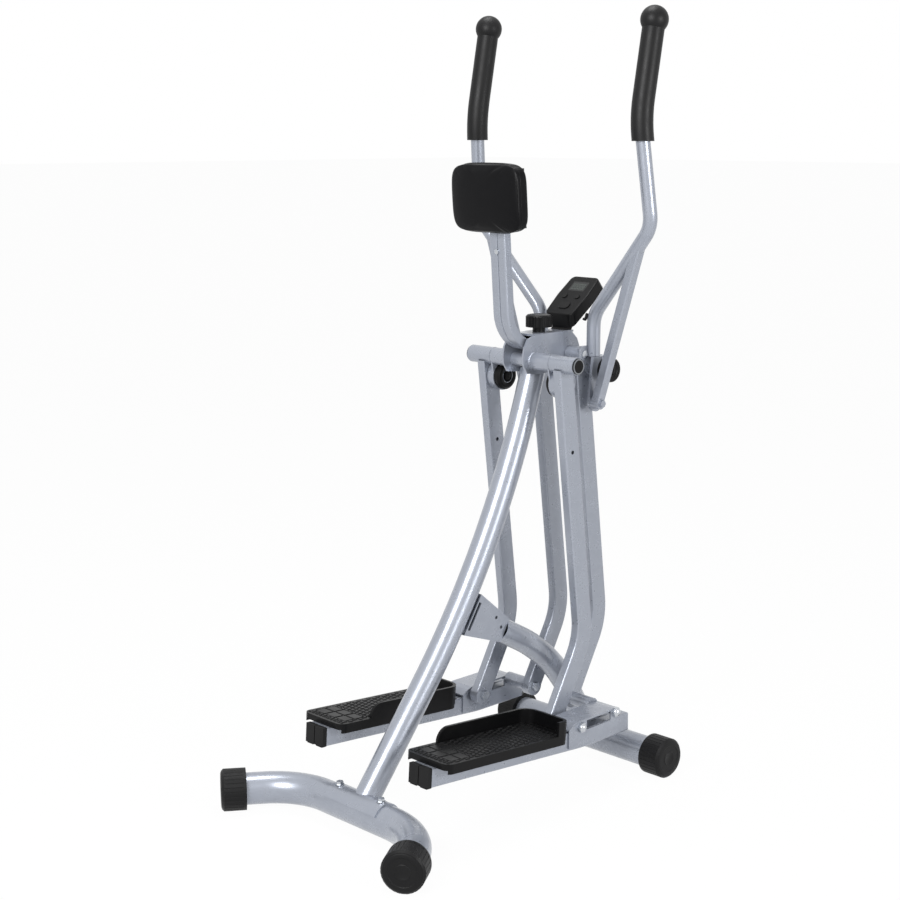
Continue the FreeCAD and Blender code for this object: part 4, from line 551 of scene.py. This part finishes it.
@dataclass
class Tread:
    """The raised blocks moulded into a pedal's tread, on the slope of its foot bars.

    Sizes are in millimetres: the line from start to bend gives the slope, surface is the tread's height over
    it, and the edges are the bare borders of the tread, wider beside the rim that begins at rim_from.
    """

    start_x: float = -243.0
    start_z: float = 149.0
    bend_x: float = 175.0
    bend_z: float = 122.0
    middle_y: float = 151.0
    heel: float = 7.0
    length: float = 328.0
    half_width: float = 58.0
    surface: float = 31.1
    rim_from: float = 79.0
    corner: float = 28.0
    step: float = 1.0
    block: tuple[float, float] = (10.5, 8.5)
    gap: float = 2.6
    rise: float = 1.3
    sunk: float = 0.3
    flank: float = 0.7
    edge: float = 6.0
    rim_edge: float = 10.0
    heel_edge: float = 8.0
    toe_edge: float = 12.0
    large_from: float = 20.0
    large_to: float = 72.0
    large_reach: float = 46.0
    large_pitch: tuple[float, float] = (26.0, 31.0)
    large_half: tuple[float, float] = (11.5, 13.5)
    sheet_ends: tuple[float, float] = (7.0, 8.0)
    sheet_sides: tuple[float, float] = (5.0, 4.0)
    thickness: float = 1.5

    def height(self, along: np.ndarray, across: np.ndarray) -> np.ndarray:
        """Return the height of the blocks over the tread.

        Args:
            along: Distance from the heel, in millimetres.
            across: Distance from the middle towards the outer edge, in millimetres.

        Returns:
            The rise where a point is inside a block and inside the tread's border, with narrow flanks, and
            a little below the surface elsewhere. Blocks stand in rows whose odd rows are shifted by half a
            pitch; the ones near the heel are larger. The border is round at the toe's inner corner.
        """
        pitch_x, pitch_y = self.block[0] + self.gap, self.block[1] + self.gap
        row = np.floor(along / pitch_x)
        shift = np.where(row % 2 > 0.5, 0.5 * pitch_y, 0.0)
        from_x = np.abs((along / pitch_x) % 1 - 0.5) * pitch_x
        from_y = np.abs(((across + shift) / pitch_y) % 1 - 0.5) * pitch_y
        small = np.minimum(self.block[0] / 2 - from_x, self.block[1] / 2 - from_y)
        from_x = np.abs((along - self.large_from) % self.large_pitch[0] - self.large_pitch[0] / 2)
        from_y = np.abs((across + self.large_reach) % self.large_pitch[1] - self.large_pitch[1] / 2)
        large = np.minimum(self.large_half[0] - from_x, self.large_half[1] - from_y)
        near_heel = (along > self.large_from) & (along < self.large_to) & (np.abs(across) < self.large_reach)
        inside = np.where(near_heel, large, small)
        border = np.where(along > self.rim_from - self.edge, self.rim_edge, self.edge)
        to_toe, to_inner = self.length - self.toe_edge - along, across + (self.half_width - border)
        border = np.minimum(to_inner, self.half_width - self.edge - across)
        border = np.minimum(border, np.minimum(along - self.heel_edge, to_toe))
        far = np.hypot(np.maximum(self.corner - to_toe, 0), np.maximum(self.corner - to_inner, 0))
        in_corner = np.minimum(to_toe, to_inner) < self.corner
        border = np.where(in_corner, np.minimum(border, self.corner - far), border)
        inside = np.minimum(inside, border)
        return np.clip(inside / self.flank, 0, 1) * (self.rise + self.sunk) - self.sunk

    def dress(self) -> None:
        """Lay a sheet of blocks on each pedal; between the blocks it lies just under the CAD surface."""
        slope = math.atan2(self.bend_z - self.start_z, self.bend_x - self.start_x)
        ahead = np.array([math.cos(slope), 0, math.sin(slope)])
        up = np.array([-math.sin(slope), 0, math.cos(slope)])
        left = np.array([0, 1.0, 0])
        along = np.arange(self.sheet_ends[0], self.length - self.sheet_ends[1], self.step)
        across = np.arange(self.sheet_sides[0] - self.half_width, self.half_width - self.sheet_sides[1],
                           self.step)
        u, v = np.meshgrid(along, across, indexing="ij")
        rise = self.height(u, v)
        for side, sign in SIDES.items():
            origin = np.array([self.start_x, sign * self.middle_y, self.start_z])
            points = (origin + (self.heel + u)[..., None] * ahead + (sign * v)[..., None] * left
                      + (self.surface + rise)[..., None] * up)
            piece = new_piece(f"{side}_tread", points.reshape(-1, 3) * MM, grid_faces(*u.shape), Slot.PLASTIC,
                              f"{side}_foot")
            piece.data.polygons.foreach_set("use_smooth", [False] * len(piece.data.polygons))
            wall = piece.modifiers.new("wall", "SOLIDIFY")
            wall.thickness = self.thickness * MM
            wall.offset = -1


@dataclass
class Cushion:
    """The padded rest: vinyl over foam, swollen by a cloth simulation, with two seams sewn round its side.

    Sizes are in millimetres. Its back sits on the board at seat and leans by lean degrees; the seams' depths
    count from there. shares gives each ring's size, and side_share how deep the side's rings lie.
    """

    seat: Place = (90.2, 0.0, 1191.3)
    lean: float = 4.2
    half_y: float = 90.5
    half_z: float = 65.5
    seam: float = 24.5
    second_seam: float = 17.5
    bow: float = 3.0
    crown: float = 5.5
    crown_power: float = 0.8
    squareness: float = 3.5
    fold: float = 1.6
    columns: int = 160
    face_rings: int = 9
    shares: tuple[float, ...] = (0.0, 0.15, 0.3, 0.45, 0.6, 0.72, 0.83, 0.91, 0.97, 1.0, 1.0, 1.0, 1.0, 1.0,
                                 1.0, 1.0, 0.985, 0.96, 0.6, 0.3, 0.0)
    side_share: tuple[float, ...] = (0.96, 0.86, 0.78, 0.66, 0.5, 0.32, 0.16, 0.05, 0.0, 0.0, 0.0, 0.0)
    pressure: float = 2.5
    stiffness: float = 25.0
    pinned_under: float = 3.0
    cap_mm: float = 1.8
    frames: int = 20
    thread: float = 0.55
    thread_sides: int = 8
    stitches: int = 200
    near_seam: float = 4.5
    near_rim: float = 0.8
    smooth_turn: float = 0.05
    smooth_depth: float = 2.5

    def axes(self) -> tuple[np.ndarray, np.ndarray]:
        """Return the unit vectors out of the board, towards the user, and up along it."""
        lean = math.radians(self.lean)
        return np.array([-math.cos(lean), 0, -math.sin(lean)]), np.array([-math.sin(lean), 0, math.cos(lean)])

    def place(self, points: np.ndarray) -> np.ndarray:
        """Turn points from the cushion's own frame into the part's.

        Args:
            points: Distances out of the board, to the user's right and up, in millimetres, on the last axis.

        Returns:
            The same points in the part's frame, in metres.
        """
        out, up = self.axes()
        x, y, z = points[..., :1], points[..., 1:2], points[..., 2:]
        return (np.array(self.seat) + x * out + y * np.array([0, -1.0, 0]) + z * up) * MM

    def rings(self, shares: np.ndarray, turn: np.ndarray) -> Mesh:
        """Return Y and Z of rings of the outline.

        Args:
            shares: How large each ring is: 1 is the outline.
            turn: The parameter along a ring.

        Returns:
            One row for each ring: a superellipse |y/a|^n + |z/b|^n = s^n. Its exponent is
            n = 2 + squareness s^3, from an ellipse in the middle to the outline's rounded rectangle, so that
            no crease runs to the corners.
        """
        power = (2 / (2 + self.squareness * shares ** 3))[:, None]
        c, s = np.cos(turn)[None, :], np.sin(turn)[None, :]
        y = shares[:, None] * self.half_y * np.sign(c) * np.abs(c) ** power
        z = shares[:, None] * self.half_z * np.sign(s) * np.abs(s) ** power
        return y, z

    def bowed(self, depth: float, z: np.ndarray) -> np.ndarray:
        """Return a seam's distance from the board: depth + bow (1 - (z/b)^2), in millimetres."""
        return depth + self.bow * (1 - (z / self.half_z) ** 2)

    def start_mesh(self) -> Mesh:
        """Return the form that swells: rings from the middle of the face over the side to the back.

        Returns:
            Points and faces. A ring of the face, at share s of the outline, lies
            crown (1 - s^2)^crown_power over the rim. A ring of the side lies at its share of the rim's depth.
            The rim bows out between the corners, where the pull of the seams draws the cover in.
        """
        shares = np.array(self.shares)
        rim = np.array([1.0] * self.face_rings + list(self.side_share))
        turn = np.linspace(0, 2 * np.pi, self.columns, endpoint=False)
        y, z = self.rings(shares, turn)
        depth = rim[:, None] * self.bowed(self.seam + self.fold, z)
        face = slice(0, self.face_rings)
        depth[face] += (self.crown * (1 - shares[face] ** 2) ** self.crown_power)[:, None]
        points = np.stack([depth, y, z], axis=-1)
        return self.place(points.reshape(-1, 3)), grid_faces(len(shares), turn.size, wrap_columns=True)

    def vertices(self, piece: Piece) -> np.ndarray:
        """Read a piece's vertices.

        Args:
            piece: The piece.

        Returns:
            One row of X, Y and Z for each vertex, in metres.
        """
        points = np.empty(len(piece.data.vertices) * 3, np.float32)
        piece.data.vertices.foreach_get("co", points)
        return points.reshape(-1, 3)

    def swell(self, piece: Piece) -> None:
        """Inflate the form as cloth, cap how far each point moves, and keep its back flat on the board.

        Args:
            piece: The cushion, before any other modifier.
        """
        rest = self.vertices(piece)
        depth = (rest - np.array(self.seat) * MM) @ self.axes()[0]
        pins = piece.vertex_groups.new(name="back")
        pins.add([int(i) for i in np.flatnonzero(depth < self.pinned_under * MM)], 1.0, "REPLACE")
        cloth = piece.modifiers.new("swell", "CLOTH")
        cloth.settings.use_pressure = True
        cloth.settings.uniform_pressure_force = self.pressure
        cloth.settings.vertex_group_mass = "back"
        cloth.settings.effector_weights.gravity = 0
        cloth.settings.tension_stiffness = self.stiffness
        cloth.settings.compression_stiffness = self.stiffness
        scene = bpy.context.scene
        for frame in range(1, self.frames + 1):
            scene.frame_set(frame)
        bpy.context.view_layer.objects.active = piece
        bpy.ops.object.modifier_apply(modifier="swell")
        scene.frame_set(1)
        step = self.vertices(piece) - rest
        size = np.linalg.norm(step, axis=1, keepdims=True)
        step *= np.minimum(1, self.cap_mm * MM / np.maximum(size, 1e-9))
        piece.data.vertices.foreach_set("co", (rest + step).ravel())
        piece.data.update()

    def sewn_seam(self, piece: Piece, depth: float) -> Mesh:
        """Return a seam: a cord laid on the swollen side, where the cover is sewn.

        Args:
            piece: The cushion.
            depth: Distance of the seam from the board at the corners, in millimetres.

        Returns:
            Points and faces of one closed cord. In each direction its middle is the weighted mean of the
            cushion's own points near the rim and near that depth.
        """
        local = self.vertices(piece) / MM - np.array(self.seat)
        out, up = self.axes()
        x, y, z = local @ out, -local[:, 1], local @ up
        bowed = self.bowed(depth, np.clip(z, -self.half_z, self.half_z))
        reach = np.maximum(np.abs(y) / self.half_y, np.abs(z) / self.half_z)
        rim = (np.abs(x - bowed) < self.near_seam) & (reach > self.near_rim)
        here = np.arctan2(z[rim] / self.half_z, y[rim] / self.half_y)
        turn = np.linspace(-np.pi, np.pi, self.stitches, endpoint=False)
        apart = np.abs((turn[:, None] - here[None, :] + np.pi) % (2 * np.pi) - np.pi)
        off = x[rim] - bowed[rim]
        weight = np.exp(-(apart / self.smooth_turn) ** 2 - (off / self.smooth_depth) ** 2)
        weight /= weight.sum(axis=1, keepdims=True)
        y, z = weight @ y[rim], weight @ z[rim]
        around = np.linspace(0, 2 * np.pi, self.thread_sides, endpoint=False)
        outward = np.stack([np.gradient(z), -np.gradient(y)], axis=-1)
        outward /= np.linalg.norm(outward, axis=1, keepdims=True)
        side = self.thread * np.cos(around)
        x = self.bowed(depth, z)[:, None] + self.thread * np.sin(around)
        points = np.stack([x, y[:, None] + outward[:, :1] * side, z[:, None] + outward[:, 1:] * side],
                          axis=-1)
        return self.place(points.reshape(-1, 3)), grid_faces(turn.size, around.size, True, True)

    def dress(self) -> None:
        """Build the cushion, swell it, and sew its seams on."""
        piece = new_piece("pad_cushion", *self.start_mesh(), Slot.VINYL, "pad_carrier")
        self.swell(piece)
        new_piece("pad_piping", *self.sewn_seam(piece, self.seam), Slot.VINYL, "pad_carrier")
        new_piece("pad_second_seam", *self.sewn_seam(piece, self.second_seam), Slot.VINYL, "pad_carrier")
        smooth = piece.modifiers.new("smooth", "SUBSURF")
        smooth.levels = smooth.render_levels = 1
        piece.data.polygons.foreach_set("use_smooth", [True] * len(piece.data.polygons))
        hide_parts("pad")


@dataclass
class Studio:
    """The floor, the lights and the camera at the photograph's viewing angle.

    Places are in metres and angles in degrees. A lamp has its place, its size in metres and its power in
    watts.
    """

    eye: Place = (-2.288, -2.374, 1.318)
    heading: float = 46.42
    pitch: float = 10.5
    lens: float = 69.0
    sensor: float = 36.0
    floor_half: float = 60.0
    floor_white: float = 0.97
    room_glow: float = 0.27
    aim: Place = (0.05, 0.0, 0.8)
    key: tuple[Place, float, float] = ((-3.0, -0.9, 2.2), 1.5, 104.0)
    fill: tuple[Place, float, float] = ((0.4, -3.4, 1.5), 0.9, 56.0)
    top: tuple[Place, float, float] = ((0.2, 0.4, 3.6), 1.3, 50.0)

    def seen(self, tree: Tree) -> Socket:
        """Tell the rays that show the background from those that light the object.

        Args:
            tree: The node tree that asks.

        Returns:
            1 for a ray from the camera, a glossy one or one that was let through, and 0 for the rest.
        """
        rays = add_node(tree, "LightPath")
        bright = add_node(tree, "Math", {"operation": "MAXIMUM"}, {0: rays.outputs["Is Camera Ray"],
                                                                  1: rays.outputs["Is Glossy Ray"]})
        bright = add_node(tree, "Math", {"operation": "MAXIMUM"}, {0: bright.outputs[0],
                                                                  1: rays.outputs["Is Transmission Ray"]})
        return bright.outputs[0]

    def floor(self) -> None:
        """Lay a pale floor that the camera and bright surfaces see as white, and that keeps soft shadows."""
        half = self.floor_half
        corners = [(-half, -half, 0.0), (half, -half, 0.0), (half, half, 0.0), (-half, half, 0.0)]
        mesh = bpy.data.meshes.new("floor")
        mesh.from_pydata(corners, [], [(0, 1, 2, 3)])
        floor = bpy.data.objects.new("floor", mesh)
        bpy.context.scene.collection.objects.link(floor)
        material = bpy.data.materials.new("studio_paper")
        material.use_nodes = True
        tree = material.node_tree
        tree.nodes.clear()
        diffuse = add_node(tree, "BsdfDiffuse", {"Color": (0.9, 0.9, 0.9, 1)})
        white = add_node(tree, "Emission", {"Color": (1, 1, 1, 1), "Strength": 1.0})
        share = add_node(tree, "Math", {"operation": "MULTIPLY", 1: self.floor_white}, {0: self.seen(tree)})
        mixed = add_node(tree, "MixShader", {}, {0: share.outputs[0], 1: diffuse.outputs[0],
                                                 2: white.outputs[0]})
        add_node(tree, "OutputMaterial", {}, {"Surface": mixed.outputs[0]})
        mesh.materials.append(material)

    def world(self) -> None:
        """Light the room softly, and show white behind the object to the camera and in reflections."""
        world = bpy.data.worlds.new("studio")
        world.use_nodes = True
        bpy.context.scene.world = world
        tree = world.node_tree
        tree.nodes.clear()
        strength = add_node(tree, "MapRange", {"To Min": self.room_glow, "To Max": 1.0},
                            {"Value": self.seen(tree)})
        back = add_node(tree, "Background", {"Color": (1, 1, 1, 1)}, {"Strength": strength.outputs["Result"]})
        add_node(tree, "OutputWorld", {}, {"Surface": back.outputs[0]})

    def hang(self, data: bpy.types.ID, place: Place, look: Vector) -> Piece:
        """Put a lamp or the camera in its place.

        Args:
            data: The lamp or camera.
            place: Where it hangs, in metres.
            look: The direction that it looks in.

        Returns:
            The object that holds it.
        """
        holder = bpy.data.objects.new(data.name, data)
        holder.location = place
        holder.rotation_mode = "QUATERNION"
        holder.rotation_quaternion = look.to_track_quat("-Z", "Y")
        bpy.context.scene.collection.objects.link(holder)
        return holder

    def lamps(self) -> None:
        """Hang three soft lamps: a key to the camera's left, a fill to its right and a wide one above."""
        for name, (place, size, power) in (("key", self.key), ("fill", self.fill), ("top", self.top)):
            lamp = bpy.data.lights.new(name, "AREA")
            lamp.size = size
            lamp.energy = power
            self.hang(lamp, place, Vector(self.aim) - Vector(place))

    def camera(self) -> None:
        """Set the camera where the photograph was taken from."""
        camera = bpy.data.cameras.new("camera")
        camera.sensor_width = self.sensor
        camera.lens = self.lens
        heading, pitch = math.radians(self.heading), math.radians(self.pitch)
        level = math.cos(pitch)
        look = Vector((math.cos(heading) * level, math.sin(heading) * level, -math.sin(pitch)))
        bpy.context.scene.camera = self.hang(camera, self.eye, look)

    def build(self) -> None:
        """Build the whole studio."""
        self.floor()
        self.world()
        self.lamps()
        self.camera()
        bpy.context.scene.view_settings.view_transform = "Standard"


def dress_nodes(frame: dict) -> None:
    """Give every CAD node the finish of its slot in the record.
    """
    slots = {slot.slot: slot for slot in Slot}
    for row in frame["record"]["subparts"]:
        node = frame["nodes"][row["node"]]
        node.data.materials.clear()
        node.data.materials.append(slots[row["material_slot"]].material)


def main() -> None:
    """Build the scene around the frame, in order, and report each sub-assembly."""
    logging.basicConfig(level=logging.INFO, format="%(name)s: %(message)s")
    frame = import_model()
    dress_nodes(frame)
    LOG.info("dressed %d CAD nodes", len(frame["nodes"]))
    for part in (FloorFrame(), Hub(), Display(), Tread(), Cushion()):
        part.dress()
        LOG.info("built %s", type(part).__name__)
    Studio().build()


if __name__ == "__main__":
    main()
